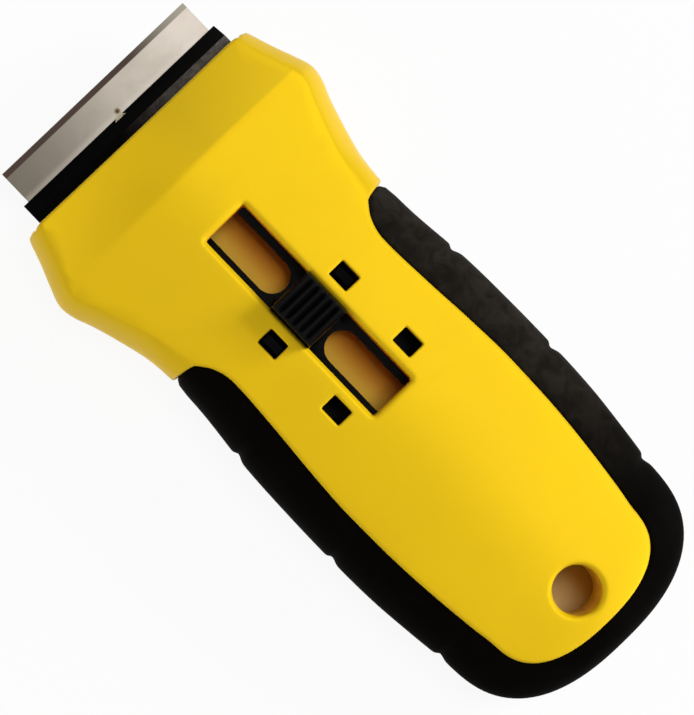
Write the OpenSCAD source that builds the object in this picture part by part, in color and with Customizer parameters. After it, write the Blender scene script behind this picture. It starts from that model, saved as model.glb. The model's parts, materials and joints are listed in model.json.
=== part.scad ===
// Razor blade scraper with a sliding blade holder, a thumb pad and rubber flanks.
// The blade points along +Y, the tail along -Y, and the underside lies flat on z = 0.

/* [Handle] */
// Length of the handle from its tail to the mouth
body_l = 110; // [104:1:118]
// Height of the crown above the underside
body_h = 17; // [16.4:0.1:19]
// Height of the joint between the two shells
split_z = 7.4; // [7:0.1:8]
// Wall of the shells, rubber included where there is rubber
wall = 2.8; // [2.6:0.1:3.2]
// Thickness of the rubber on the flanks
grip_t = 1.5; // [1.2:0.1:1.6]
// Wall beside the holder at the mouth
mouth_wall = 2.5; // [2.2:0.1:3.2]
// Wall above and below the holder at the mouth
lip_wall = 1.4; // [1.2:0.1:2]
// Distance from the ramp's upper edge to the mouth
ramp_l = 10.4; // [8:0.2:13]
// How far the middle of the top stands above its edges
crown_drop = 0.9; // [0.4:0.1:1.4]
// Radius of the hanging hole
hang_r = 4; // [3:0.1:4.6]
// Distance from the tail to the middle of the hanging hole
hang_in = 11.5; // [10.8:0.1:13]

/* [Blade] */
// Length of the cutting edge
blade_w = 39; // [37:0.5:40]
// Depth of the blade from its back to its edge
blade_d = 19; // [18:0.5:20]
// Thickness of the blade
blade_t = 0.23; // [0.2:0.01:0.3]
// How far the blade stands out of the holder in use
blade_out = 6; // [5:0.2:7]
// Width of the ground bevel along the edge
bevel_l = 1; // [0.6:0.1:1.6]
// Radius of the hole in the middle of the blade
blade_hole_r = 1.6; // [1.4:0.1:1.8]
// Depth of the folded spine, front to back
spine_d = 4.6; // [3.6:0.2:5]
// Thickness of the folded spine
spine_t = 1; // [0.8:0.05:1.1]

/* [Holder] */
// How far the holder stands out of the mouth in use
holder_out = 4; // [3:0.2:5]
// Depth of the holder from back to lip
holder_d = 15; // [14.6:0.2:16]
// Width of the holder beyond each end of the blade
holder_side = 1; // [0.6:0.1:1.4]
// Thickness of the holder below the blade
base_t = 2.3; // [2:0.1:2.4]
// Thickness of the clamp jaw above the blade
jaw_t = 3.05; // [2.8:0.05:3.2]
// Length of the bevel along the front of the clamp jaw
jaw_bevel_l = 2.5; // [1.8:0.1:3.2]
// Radius of the hinge pin
pin_r = 0.7; // [0.6:0.05:0.8]

/* [Slide] */
// Travel of the slide each way from the middle stop
stroke = 14.1; // [12:0.1:14.4]
// Width of the slot in the top
slot_w = 8.4; // [8:0.1:9.2]
// Width of the slide
slide_w = 22.4; // [22:0.1:23]
// Thickness of the slide
slide_t = 2.4; // [2.2:0.1:2.6]
// Width of the two windows in the slide
window_w = 5.8; // [5:0.1:6.2]
// Side of the latch windows, across the handle
notch_w = 3; // [2.8:0.1:3.4]
// Side of the latch windows, along the handle
notch_l = 3.8; // [3.4:0.1:4]
// Distance of the latch windows from the middle
notch_x = 7.6; // [7.5:0.05:7.8]

/* [Thumb pad] */
// Length of the pad
pad_l = 8.6; // [8.4:0.1:9.4]
// Number of ridges across the pad
ridges = 6; // [5:1:9]
// Depth of the grooves between the ridges
ridge_d = 0.8; // [0.5:0.1:1]
// How far the ridges stand above the top of the handle
pad_proud = 2.2; // [1.5:0.1:3]
// Travel of the pad when it is pressed
press = 1.2; // [0.8:0.1:1.3]

/* [Screws] */
// Radius of the screw's shank
screw_r = 1.3; // [1.1:0.05:1.4]
// Radius of the screw's head
screw_head_r = 2.6; // [2.3:0.1:2.7]
// Height of the screw's head
screw_head_h = 1.8; // [1.5:0.1:2]

/* [Hidden] */
$fn = 48;

// Clearances and overruns
slide_gap = 0.2;
fit_gap = 0.3;
run_gap = 0.05;
over = 1;
sliver = 0.05;

// Places along the handle
overall_l = body_l + holder_out + blade_out;
tail_y = -overall_l / 2;
mouth_y = tail_y + body_l;
ramp_y = mouth_y - ramp_l;
lip_y = mouth_y + holder_out;
edge_y = lip_y + blade_out;
blade_back_y = edge_y - blade_d;
holder_back_y = lip_y - holder_d;
hang_y = tail_y + hang_in;

// Widths of the holder and of the mouth that it passes
holder_half = blade_w / 2 + holder_side;
mouth_side_gap = 0.6;
mouth_half = holder_half + mouth_side_gap + mouth_wall;

// Heights, from the floor of the lower shell up
sink = 0.5;
floor_z = wall - sink;
bed_rise = 1.7;
bed_z = floor_z + bed_rise;
rail_h = 2.2;
rail_z = bed_z + rail_h;
slide_z = rail_z + slide_gap;
slide_top_z = slide_z + slide_t;
blade_step = 0.8;
blade_z = slide_z + blade_step;
base_z = blade_z - base_t;
jaw_seat = 0.03;
jaw_z = blade_z + blade_t + jaw_seat;
jaw_top_z = jaw_z + jaw_t;
jaw_room = 1.1;
base_room = 0.4;
mouth_top_z = jaw_top_z + jaw_room;
mouth_low_z = base_z - base_room;
mouth_crown_z = mouth_top_z + lip_wall;
lower_lip_share = 1.4;
mouth_keel_z = mouth_low_z - lip_wall * lower_lip_share;
keel_l = 12;
keel_y = mouth_y - keel_l;

// Outline of the handle in plan: share of the length, share of the mouth's half width
plan_shares = [[0, 0.93], [0.145, 0.945], [0.212, 0.979], [0.283, 1.012], [0.354, 1.025],
               [0.45, 1.025], [0.552, 1.009], [0.651, 0.965], [0.715, 0.96], [0.757, 0.978],
               [0.8, 1.027], [0.845, 1.09], [0.875, 1.143], [0.899, 1.157], [0.925, 1.118],
               [0.96, 1.055], [1, 0.993]];
tail_l = 16;
tail_power = 2.5;
tail_drop_l = 8;
edge_power = 2.2;
// Seam between the yellow top and the rubber, in the same shares
seam_shares = [[0, 0.63], [0.127, 0.644], [0.169, 0.671], [0.24, 0.708], [0.311, 0.733],
               [0.382, 0.742], [0.425, 0.742], [0.495, 0.724], [0.566, 0.699], [0.651, 0.682],
               [0.677, 0.708], [0.696, 0.764], [0.707, 0.848], [0.7145, 1.2]];
seam_in = 4.5;
seam_tail_l = 9.5;
// Crown along the handle: share of the length, share of the height
crown_shares = [[0, 0.83], [0.09, 0.862], [0.22, 0.955], [0.364, 1], [0.636, 1], [0.91, 0.965]];
// Width of the rounded flank: share of the length, share of the mouth's half width
flank_shares = [[0, 0.36], [0.5, 0.36], [0.65, 0.3], [0.76, 0.16], [0.9, 0.12], [1, 0.12]];
heel_w = 5;
// Most of the half width that a rounded side may take
round_share = 0.9;
// Stations of the skin along the handle, as shares of its length
station_shares = [0, 0.004, 0.012, 0.026, 0.045, 0.07, 0.1, 0.145, 0.19, 0.24, 0.3, 0.36,
                  0.42, 0.48, 0.54, 0.6, 0.65, 0.69, 0.72, 0.75, 0.78, 0.81, 0.84, 0.87,
                  1 - ramp_l / body_l, 0.93, 0.955, 0.98, 1];
heel_steps = 5;
flank_steps = 7;
crown_steps = 3;
seam_step_share = 0.01;

// Slot and latch windows
end_gap = 0.3;
slot_l = 2 * stroke + pad_l + 2 * end_gap;
slot_mid_share = 0.65;
slot_y = tail_y + body_l * slot_mid_share;
collar_t = 1.2;
collar_gap = 0.8;
collar_z = jaw_top_z + collar_gap;

// Slide: a plate with two windows, from its tail to the neck that carries the hinge
slide_tail_in = 25.5;
slide_tail_y = slot_y - slide_tail_in;
bridge_over = 0.75;
bridge_half = pad_l / 2 + bridge_over;
neck_l = 3.1;
neck_y = holder_back_y - neck_l;
neck_in = 2;
neck_half = holder_half - neck_in;
front_window_in = 2.9;
front_window_end_y = neck_y - front_window_in;
rear_window_in = 3;
rear_window_end_y = slide_tail_y + rear_window_in;
blade_gap = 0.4;
slide_front_y = blade_back_y - blade_gap;
tongue_l = 4.6;
tongue_y = holder_back_y - tongue_l;

// Rails below the slide and guides above it
rail_in_half = 5.2;
rail_t = 1.6;
rail_tail_y = slide_tail_y - stroke;
rail_front_y = tongue_y - stroke - fit_gap;
guide_t = 1.2;
guide_in = 0.4;
guide_half = slide_w / 2 - guide_in;

// Hinge of the clamp jaw: spans of its barrels, counted from the middle
hinge_back = 1.4;
hinge_y = holder_back_y - hinge_back;
barrel_wall = 0.65;
barrel_r = pin_r + barrel_wall;
pin_lift = 0.1;
hinge_z = slide_top_z + pin_r + pin_lift;
outer_barrel_w = 2.5;
jaw_barrel_w = 5.7;
inner_barrel_w = 3.7;
outer_barrel = [neck_half - outer_barrel_w, neck_half];
jaw_barrel = [outer_barrel[0] - fit_gap - jaw_barrel_w, outer_barrel[0] - fit_gap];
inner_barrel = [jaw_barrel[0] - fit_gap - inner_barrel_w, jaw_barrel[0] - fit_gap];
guide_front_y = hinge_y - barrel_r - stroke - 2 * fit_gap;

// Screws and their bosses
boss_wall = 0.8;
head_room = 0.2;
boss_r = screw_head_r + boss_wall;
boss_x = slide_w / 2 + boss_r + fit_gap;
front_boss_y = neck_y - stroke - boss_r - fit_gap;
rear_boss_in = 4.2;
rear_boss_x = boss_x - rear_boss_in;
rear_boss_gap = 4;
rear_boss_y = rail_tail_y - boss_r - rear_boss_gap;
boss_top_z = body_h - wall - crown_drop / 2;
head_seat_z = 3.4;
screw_bite = 9;
boss_places = [[boss_x, front_boss_y], [-boss_x, front_boss_y],
               [rear_boss_x, rear_boss_y], [-rear_boss_x, rear_boss_y]];

// Colours
yellow = [0.98, 0.84, 0.05];
rubber = [0.07, 0.07, 0.07];
black = [0.12, 0.12, 0.13];
steel = [0.75, 0.73, 0.7];
dark_steel = [0.3, 0.3, 0.32];

// A smooth curve through the points of a table
function table_at(t, x, i = 0) = i >= len(t) - 2 || x < t[i + 1][0] ? i : table_at(t, x, i + 1);
function rise(t, a, b) = (t[b][1] - t[a][1]) / (t[b][0] - t[a][0]);
function slope(t, i) = rise(t, max(i - 1, 0), min(i + 1, len(t) - 1));
function ease(a, b, m0, m1, u) =
    (2 * u ^ 3 - 3 * u ^ 2 + 1) * a + (u ^ 3 - 2 * u ^ 2 + u) * m0
    + (3 * u ^ 2 - 2 * u ^ 3) * b + (u ^ 3 - u ^ 2) * m1;
function curve(t, x) =
    let (i = table_at(t, x), h = t[i + 1][0] - t[i][0], u = max(0, min(1, (x - t[i][0]) / h)))
    ease(t[i][1], t[i + 1][1], slope(t, i) * h, slope(t, i + 1) * h, u);
function mix(a, b, u) = a + (b - a) * u;

// A round end: 1 from the length r on, and a small flat left at the very end
blunt_share = 0.004;
function end_round(d, r, p) = d >= r ? 1 : (1 - (1 - max(d / r, blunt_share)) ^ p) ^ (1 / p);

function share_at(y) = (y - tail_y) / body_l;
function half_w(y, k) =
    (mouth_half * curve(plan_shares, share_at(y)) - k) * end_round(y - tail_y - k, tail_l - k, tail_power);
function crown_z(y) = y < ramp_y
    ? body_h * curve(crown_shares, share_at(y))
    : mix(body_h * curve(crown_shares, share_at(ramp_y)), mouth_crown_z, min(1, (y - ramp_y) / ramp_l));
function keel_z(y) = y < keel_y ? -sink : mix(-sink, mouth_keel_z, min(1, (y - keel_y) / keel_l));
function drop(y, k) = end_round(y - tail_y - k, tail_drop_l - k, edge_power);
function top_z(y, k) = split_z + (crown_z(y) - k - split_z) * drop(y, k);
function low_z(y, k) = split_z - (split_z - keel_z(y) - k) * drop(y, k);
function flank_w(y, k) = min(mouth_half * curve(flank_shares, share_at(y)) - k, round_share * half_w(y, k));

// One cross-section of the handle, inset by k: heel, flank and half of the crown, then mirrored
function half_section(y, k) =
    let (w = half_w(y, k), c = flank_w(y, k), h = min(heel_w - k / 2, round_share * w),
         e = 2 / edge_power, sag = crown_drop * drop(y, k))
    concat(
        [for (i = [0 : heel_steps]) let (a = 90 * i / heel_steps)
            [w - h + h * sin(a) ^ e, split_z - (split_z - low_z(y, k)) * cos(a) ^ e]],
        [for (i = [1 : flank_steps]) let (a = 90 * i / flank_steps)
            [w - c + c * cos(a) ^ e, split_z + (top_z(y, k) - sag - split_z) * sin(a) ^ e]],
        [for (i = [1 : crown_steps]) let (u = 1 - i / crown_steps)
            [(w - c) * u, top_z(y, k) - sag * u ^ 2]]);
function section(y, k) =
    let (half = half_section(y, k), n = len(half))
    [for (i = [0 : 2 * n - 2]) i < n ? [half[i][0], y, half[i][1]]
                                     : [-half[2 * n - 2 - i][0], y, half[2 * n - 2 - i][1]]];

// The handle as one closed skin, inset by k and run past the mouth by far
module skin(k, far = 0) {
    ys = concat([for (s = station_shares) tail_y + k + s * (body_l - k)], far > 0 ? [mouth_y + far] : []);
    rings = [for (y = ys) section(y, k)];
    m = len(rings[0]);
    n = len(rings);
    polyhedron(
        points = [for (ring = rings) for (p = ring) p],
        faces = concat(
            [[for (j = [0 : m - 1]) m - 1 - j]],
            [for (i = [0 : n - 2]) for (j = [0 : m - 1]) let (q = (j + 1) % m)
                [i * m + j, i * m + q, (i + 1) * m + q]],
            [for (i = [0 : n - 2]) for (j = [0 : m - 1]) let (q = (j + 1) % m)
                [i * m + j, (i + 1) * m + q, (i + 1) * m + j]],
            [[for (j = [0 : m - 1]) (n - 1) * m + j]]));
}

// Plan of the yellow plastic: the panel within the seam, and the whole head
module yellow_plan() {
    start = tail_y + seam_in;
    last = seam_shares[len(seam_shares) - 1];
    shares = [for (s = [seam_in / body_l : seam_step_share : last[0]]) s];
    side = concat(
        [for (s = shares) let (y = tail_y + s * body_l)
            [mouth_half * curve(seam_shares, s) * end_round(y - start, seam_tail_l, tail_power), y]],
        [[mouth_half * last[1] + over, tail_y + last[0] * body_l],
         [mouth_half * last[1] + over, mouth_y + over]]);
    n = len(side);
    polygon([for (i = [0 : 2 * n - 1]) i < n ? side[i] : [-side[2 * n - 1 - i][0], side[2 * n - 1 - i][1]]]);
}

module yellow_prism() {
    translate([0, 0, -over]) linear_extrude(body_h + 2 * over) yellow_plan();
}

module box(x0, x1, y0, y1, z0, z1) {
    translate([x0, y0, z0]) cube([x1 - x0, y1 - y0, z1 - z0]);
}

module half_space(z0, z1) {
    box(-2 * mouth_half, 2 * mouth_half, tail_y - over, mouth_y + over, z0, z1);
}

// Room for the holder from its rearmost place to the mouth
module holder_room() {
    box(-holder_half - mouth_side_gap, holder_half + mouth_side_gap,
        holder_back_y - stroke - fit_gap, mouth_y + over, mouth_low_z, mouth_top_z);
}

// Plastic of one shell before its fittings: yellow at the surface, set back under the rubber
module shell_half(z0, z1) {
    difference() {
        intersection() {
            union() {
                intersection() {
                    skin(0);
                    yellow_prism();
                }
                skin(grip_t);
            }
            half_space(z0, z1);
        }
        skin(wall, over);
        holder_room();
    }
}

module rubber_half(z0, z1) {
    difference() {
        intersection() {
            skin(0);
            half_space(z0, z1);
        }
        skin(grip_t);
        yellow_prism();
        grip_notches();
    }
}

// Three shallow notches down each rubber flank
notch_share = [0.573, 0.375, 0.169];
notch_d = 0.6;
notch_side = 1.1;
module grip_notches() {
    for (s = notch_share) for (side = [-1, 1]) {
        y = tail_y + s * body_l;
        translate([side * (half_w(y, 0) + notch_side / 2 - notch_d), y, 0]) rotate(45)
            translate([-notch_side / 2, -notch_side / 2, -over])
                cube([notch_side, notch_side, body_h + 2 * over]);
    }
}

tube_wall = 2.1;
module hang_tube(z0, z1) {
    translate([0, hang_y, z0]) cylinder(r = hang_r + tube_wall, h = z1 - z0);
}

module hang_bore() {
    translate([0, hang_y, -over]) cylinder(r = hang_r, h = body_h + 2 * over);
}

module at_bosses() {
    for (p = boss_places) translate([p[0], p[1], 0]) children();
}

// Upper shell: slot with its collar, latch windows, guides, bosses
// Fittings reach this far up into the wall of the crown
root_share = 0.6;
module upper_shell() {
    inner_z = body_h - wall * root_share;
    color(yellow) difference() {
        union() {
            shell_half(split_z, body_h + over);
            box(-slot_w / 2 - collar_t, slot_w / 2 + collar_t, slot_y - slot_l / 2 - collar_t,
                slot_y + slot_l / 2 + collar_t, collar_z, inner_z);
            for (side = [0, 1]) mirror([side, 0, 0])
                box(guide_half - guide_t, guide_half, rail_tail_y, guide_front_y,
                    slide_top_z + slide_gap, inner_z);
            at_bosses() translate([0, 0, split_z]) cylinder(r = boss_r, h = boss_top_z - split_z);
            hang_tube(split_z, crown_z(hang_y) - wall * root_share);
        }
        box(-slot_w / 2, slot_w / 2, slot_y - slot_l / 2, slot_y + slot_l / 2, split_z, body_h + over);
        for (side = [-1, 1]) for (stop = [0, 1])
            translate([side * notch_x - notch_w / 2, slot_y - stop * stroke - notch_l / 2, split_z])
                cube([notch_w, notch_l, body_h]);
        at_bosses() cylinder(r = screw_r + run_gap, h = head_seat_z + screw_bite + over);
        hang_bore();
    }
}

// Lower shell: floor, bed with two rails, bosses with recesses for the screw heads
module lower_shell() {
    rail_half = rail_in_half + rail_t;
    color(yellow) difference() {
        union() {
            shell_half(0, split_z);
            box(-rail_half, rail_half, rail_tail_y, keel_y, floor_z - over, bed_z);
            for (side = [0, 1]) mirror([side, 0, 0])
                box(rail_in_half, rail_half, rail_tail_y, rail_front_y, floor_z - over, rail_z);
            at_bosses() translate([0, 0, floor_z - over]) cylinder(r = boss_r, h = split_z - floor_z + over);
            hang_tube(sink, split_z);
        }
        at_bosses() translate([0, 0, -over]) cylinder(r = screw_head_r + head_room, h = head_seat_z + over);
        at_bosses() cylinder(r = screw_r + fit_gap, h = split_z + over);
        hang_bore();
    }
}

module upper_grip() {
    color(rubber) rubber_half(split_z, body_h + over);
}

module lower_grip() {
    color(rubber) rubber_half(0, split_z);
}

// Screws from below, with a cross recess in each head
cross_l = 3;
cross_w = 0.7;
module shell_screws() {
    color(dark_steel) at_bosses() difference() {
        union() {
            translate([0, 0, head_seat_z - screw_head_h]) cylinder(r = screw_head_r, h = screw_head_h);
            translate([0, 0, head_seat_z - sliver]) cylinder(r = screw_r, h = screw_bite + sliver);
        }
        for (a = [0, 90]) rotate(a)
            translate([-cross_l / 2, -cross_w / 2, head_seat_z - screw_head_h - over])
                cube([cross_l, cross_w, over + screw_head_h / 2]);
    }
}

// A slot with one round end, from the bridge to far_y
module slide_window(near_y, far_y) {
    dir = sign(far_y - near_y);
    mid = near_y + dir * window_w / 2;
    translate([0, mid, slide_z - over]) cylinder(d = window_w, h = slide_t + 2 * over);
    box(-window_w / 2, window_w / 2, min(mid, far_y), max(mid, far_y), slide_z - over, slide_top_z + over);
}

// Legs of the pad: four snap legs through the bridge
leg_x = 3.3;
leg_t = 0.9;
leg_w = 1.6;
leg_half_y = 3.3;
hook_t = 0.6;
hook_h = 0.8;
hook_gap = 0.1;

module leg_holes() {
    for (side = [0, 1]) mirror([side, 0, 0]) for (y = [-leg_half_y, leg_half_y])
        box(leg_x - slide_gap, leg_x + leg_t + hook_t, slot_y + y - leg_w / 2 - slide_gap,
            slot_y + y + leg_w / 2 + slide_gap, slide_z - over, slide_top_z + over);
}

// Latch spring: a bent strip across the slide, with a nose up into each latch window
strip_t = 0.5;
latch_gap = 0.25;
strip_w = notch_l - 2 * latch_gap;
nose_half = notch_w / 2 - latch_gap;
ledge_h = 1;
ledge_z = slide_z + ledge_h;
nose_in = 0.5;
nose_free_z = slide_top_z + ledge_h;
nose_z = body_h - wall + nose_in;

module latch_room() {
    inner = notch_x - nose_half - strip_t;
    box(-inner, inner, slot_y - strip_w / 2 - slide_gap, slot_y + strip_w / 2 + slide_gap,
        slide_z - over, slide_top_z + over);
    box(-notch_x - nose_half - slide_gap, notch_x + nose_half + slide_gap,
        slot_y - strip_w / 2 - slide_gap, slot_y + strip_w / 2 + slide_gap, ledge_z, slide_top_z + over);
}

module latch_spring() {
    a = notch_x - nose_half;
    b = notch_x + nose_half;
    bend = 0.8 * strip_t;
    side = [[a + strip_t, ledge_z], [a + strip_t, nose_z - strip_t - bend],
            [a + strip_t + bend, nose_z - strip_t], [b - strip_t - bend, nose_z - strip_t],
            [b - strip_t, nose_z - strip_t - bend], [b - strip_t, nose_free_z], [b, nose_free_z],
            [b, nose_z - strip_t], [b - strip_t, nose_z], [a + strip_t, nose_z],
            [a, nose_z - strip_t], [a, ledge_z + strip_t]];
    n = len(side);
    color(dark_steel) translate([0, slot_y + strip_w / 2, 0]) rotate([90, 0, 0]) linear_extrude(strip_w)
        polygon([for (i = [0 : 2 * n - 1]) i < n ? side[i] : [-side[2 * n - 1 - i][0], side[2 * n - 1 - i][1]]]);
}

// A barrel of the hinge on each side, between two distances from the middle
module barrel(span, r) {
    for (side = [0, 1]) mirror([side, 0, 0])
        translate([span[0], hinge_y, hinge_z]) rotate([0, 90, 0]) cylinder(r = r, h = span[1] - span[0]);
}

// Slide plate with its two windows, and the fixed barrels of the hinge
module blade_slide() {
    color(black) difference() {
        union() {
            box(-slide_w / 2, slide_w / 2, slide_tail_y, slide_front_y, slide_z, slide_top_z);
            box(-neck_half, neck_half, neck_y, slide_front_y, slide_z, slide_top_z);
            barrel(inner_barrel, barrel_r);
            barrel(outer_barrel, barrel_r);
            for (side = [0, 1]) mirror([side, 0, 0]) for (span = [inner_barrel, outer_barrel])
                box(span[0], span[1], hinge_y - barrel_r, hinge_y + barrel_r, slide_z, hinge_z);
        }
        slide_window(slot_y + bridge_half, front_window_end_y);
        slide_window(slot_y - bridge_half, rear_window_end_y);
        latch_room();
        leg_holes();
        barrel(jaw_barrel + [-fit_gap, fit_gap], barrel_r + fit_gap);
        barrel([0, outer_barrel[1] + over], pin_r);
        spring_room();
        rivet_holes();
    }
}

// Holder base: the plate that the blade lies on, with a tongue under the slide
groove_gap = 0.2;
nose_chamfer = 1;
tongue_half = slide_w / 2;
module holder_base() {
    spine_low = blade_z + blade_t / 2 - spine_t / 2 - sliver;
    step_y = blade_back_y - groove_gap;
    side = [[holder_back_y, base_z], [lip_y - nose_chamfer, base_z], [lip_y, base_z + nose_chamfer],
            [lip_y, blade_z], [blade_back_y + spine_d + groove_gap, blade_z],
            [blade_back_y + spine_d + groove_gap, spine_low], [step_y, spine_low],
            [step_y, slide_z], [holder_back_y, slide_z]];
    color(dark_steel) difference() {
        union() {
            translate([-holder_half, 0, 0]) rotate([90, 0, 90]) linear_extrude(2 * holder_half) polygon(side);
            box(-tongue_half, tongue_half, tongue_y, holder_back_y + over, base_z, slide_z);
        }
        translate([0, stud_y, base_z - over]) cylinder(r = stud_r, h = base_t + 2 * over);
        rivet_holes();
    }
}

// Rivets through the slide and the tongue
rivet_r = 1;
rivet_head_r = 1.5;
rivet_head_h = 0.6;
rivet_x = 3.6;
rivet_back = 4;
rivet_y = holder_back_y - rivet_back;

module rivet_holes() {
    for (x = [-rivet_x, rivet_x]) translate([x, rivet_y, base_z]) {
        translate([0, 0, -over]) cylinder(r = rivet_head_r, h = over + rivet_head_h);
        translate([0, 0, -over]) cylinder(r = rivet_r, h = slide_top_z - base_z + 2 * over);
    }
}

module holder_rivets() {
    color(steel) for (x = [-rivet_x, rivet_x]) translate([x, rivet_y, 0]) {
        translate([0, 0, base_z]) cylinder(r = rivet_head_r, h = rivet_head_h);
        translate([0, 0, base_z]) cylinder(r = rivet_r, h = slide_top_z - base_z + sliver);
        translate([0, 0, slide_top_z]) cylinder(r = rivet_head_r, h = rivet_head_h);
    }
}

// Stud that the hole of the blade drops over
stud_r = 1.1;
stud_back = 1.2;
stud_y = lip_y - stud_back;
stud_up = 0.7;
module locating_stud() {
    color(steel) translate([0, stud_y, base_z]) cylinder(r = stud_r, h = base_t + blade_t + stud_up);
}

// Single-edge blade with one ground bevel on each face
module razor_blade() {
    side = [[blade_back_y + groove_gap, blade_z], [edge_y - bevel_l, blade_z],
            [edge_y, blade_z + blade_t / 2 - sliver / 2], [edge_y, blade_z + blade_t / 2 + sliver / 2],
            [edge_y - bevel_l, blade_z + blade_t], [blade_back_y + groove_gap, blade_z + blade_t]];
    color(steel) difference() {
        translate([-blade_w / 2, 0, 0]) rotate([90, 0, 90]) linear_extrude(blade_w) polygon(side);
        translate([0, stud_y, blade_z - over]) cylinder(r = blade_hole_r, h = blade_t + 2 * over);
    }
}

// Folded strip that stiffens the back of the blade
module blade_spine() {
    low = blade_z + blade_t / 2 - spine_t / 2;
    color(dark_steel) difference() {
        union() {
            box(-blade_w / 2, blade_w / 2, blade_back_y + spine_t / 2, blade_back_y + spine_d,
                low, low + spine_t);
            translate([-blade_w / 2, blade_back_y + spine_t / 2, low + spine_t / 2]) rotate([0, 90, 0])
                cylinder(d = spine_t, h = blade_w);
        }
        box(-blade_w / 2 - over, blade_w / 2 + over, blade_back_y + groove_gap,
            blade_back_y + spine_d + over, blade_z, blade_z + blade_t);
    }
}

module hinge_pin() {
    color(steel) translate([-outer_barrel[1], hinge_y, hinge_z]) rotate([0, 90, 0])
        cylinder(r = pin_r, h = 2 * outer_barrel[1]);
}

// Clamp jaw: a plate with a front bevel, hinged at its back
spine_room = 0.15;
jaw_gap = 0.3;
module clamp_jaw() {
    spine_top = blade_z + blade_t / 2 + spine_t / 2 + spine_room;
    web_z = slide_top_z + jaw_gap;
    side = [[holder_back_y + jaw_gap, web_z], [blade_back_y - groove_gap, web_z],
            [blade_back_y - groove_gap, spine_top], [blade_back_y + spine_d + groove_gap, spine_top],
            [blade_back_y + spine_d + groove_gap, jaw_z], [lip_y, jaw_z], [lip_y, jaw_z + nose_chamfer / 2],
            [lip_y - jaw_bevel_l, jaw_top_z], [holder_back_y + jaw_gap, jaw_top_z]];
    color(black) difference() {
        union() {
            translate([-holder_half, 0, 0]) rotate([90, 0, 90]) linear_extrude(2 * holder_half) polygon(side);
            barrel(jaw_barrel, barrel_r);
            for (s = [0, 1]) mirror([s, 0, 0])
                box(jaw_barrel[0], jaw_barrel[1], hinge_y, holder_back_y + over, web_z, jaw_top_z);
        }
        barrel([jaw_barrel[0] - over, jaw_barrel[1] + over], pin_r + run_gap);
        translate([0, stud_y, base_z]) cylinder(r = stud_r + fit_gap, h = base_t + blade_t + stud_up + fit_gap);
        spring_room();
    }
}

// Torsion spring round the pin: it presses the jaw shut with one leg and the slide with the other
wire_r = 0.25;
coil_turns = 5;
coil_pitch = 0.62;
coil_gap = 0.1;
coil_r = pin_r + coil_gap + wire_r;
coil_steps = 12;
wire_sides = 6;
coil_half = coil_turns * coil_pitch / 2;
front_leg_l = 5.8;
rear_leg_l = 2.4;
front_leg_y = hinge_y + front_leg_l;
rear_leg_y = hinge_y - rear_leg_l;

module spring_room() {
    room = coil_r + wire_r + fit_gap;
    translate([-coil_half - fit_gap, hinge_y, hinge_z]) rotate([0, 90, 0])
        cylinder(r = room, h = 2 * (coil_half + fit_gap));
    box(coil_half - 2 * fit_gap, coil_half + 2 * fit_gap, hinge_y, front_leg_y + fit_gap,
        jaw_top_z - 2 * wire_r - fit_gap / 2, jaw_top_z + over);
}

function coil_point(i) =
    let (a = 360 * i / coil_steps)
    [-coil_half + coil_pitch * i / coil_steps, hinge_y + coil_r * sin(a), hinge_z + coil_r * cos(a)];
spring_path = concat(
    [[-coil_half, rear_leg_y, slide_top_z + wire_r]],
    [for (i = [-1 : coil_turns * coil_steps]) coil_point(i)],
    [[coil_half, front_leg_y, jaw_top_z - wire_r]]);
function unit(v) = v / norm(v);
function tangent(p, i) = unit(p[min(i + 1, len(p) - 1)] - p[max(i - 1, 0)]);
function wire_ring(p, i) =
    let (t = tangent(p, i), u = unit([1, 0, 0] - t * t[0]), v = cross(t, u))
    [for (j = [0 : wire_sides - 1]) let (a = 360 * j / wire_sides) p[i] + wire_r * (u * cos(a) + v * sin(a))];

module jaw_spring() {
    rings = [for (i = [0 : len(spring_path) - 1]) wire_ring(spring_path, i)];
    m = wire_sides;
    n = len(rings);
    color(steel) polyhedron(
        points = [for (ring = rings) for (p = ring) p],
        faces = concat(
            [[for (j = [0 : m - 1]) j]],
            [for (i = [0 : n - 2]) for (j = [0 : m - 1]) let (q = (j + 1) % m)
                [i * m + j, (i + 1) * m + q, i * m + q]],
            [for (i = [0 : n - 2]) for (j = [0 : m - 1]) let (q = (j + 1) % m)
                [i * m + j, (i + 1) * m + j, (i + 1) * m + q]],
            [[for (j = [0 : m - 1]) (n - 1) * m + m - 1 - j]]));
}

// Thumb pad: a ridged block in the slot, with a stem on the latch spring and four snap legs
pad_w = slot_w - 2 * end_gap;
pad_z = slide_top_z + press + fit_gap;
pad_top_z = body_h + pad_proud;
stem_x = 2.2;
// Where the flat top of a ridge starts and ends, as shares of the pitch
ridge_shares = [0.3, 0.7];
module thumb_pad() {
    pitch = pad_l / ridges;
    y0 = slot_y - pad_l / 2;
    ridge = [for (i = [0 : ridges - 1]) for (p = [[0, 1], [ridge_shares[0], 0], [ridge_shares[1], 0]])
        [y0 + (i + p[0]) * pitch, pad_top_z - ridge_d * p[1]]];
    side = concat([[y0, pad_z]], ridge, [[y0 + pad_l, pad_top_z - ridge_d], [y0 + pad_l, pad_z]]);
    color(black) {
        translate([-pad_w / 2, 0, 0]) rotate([90, 0, 90]) linear_extrude(pad_w) polygon(side);
        box(-stem_x, stem_x, slot_y - strip_w / 2, slot_y + strip_w / 2, ledge_z + strip_t, pad_z + sliver);
        for (s = [0, 1]) mirror([s, 0, 0]) for (y = [slot_y - leg_half_y, slot_y + leg_half_y]) {
            box(leg_x, leg_x + leg_t, y - leg_w / 2, y + leg_w / 2,
                slide_z - hook_gap - hook_h, pad_z + sliver);
            box(leg_x, leg_x + leg_t + hook_t, y - leg_w / 2, y + leg_w / 2,
                slide_z - hook_gap - hook_h, slide_z - hook_gap);
        }
    }
}

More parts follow.
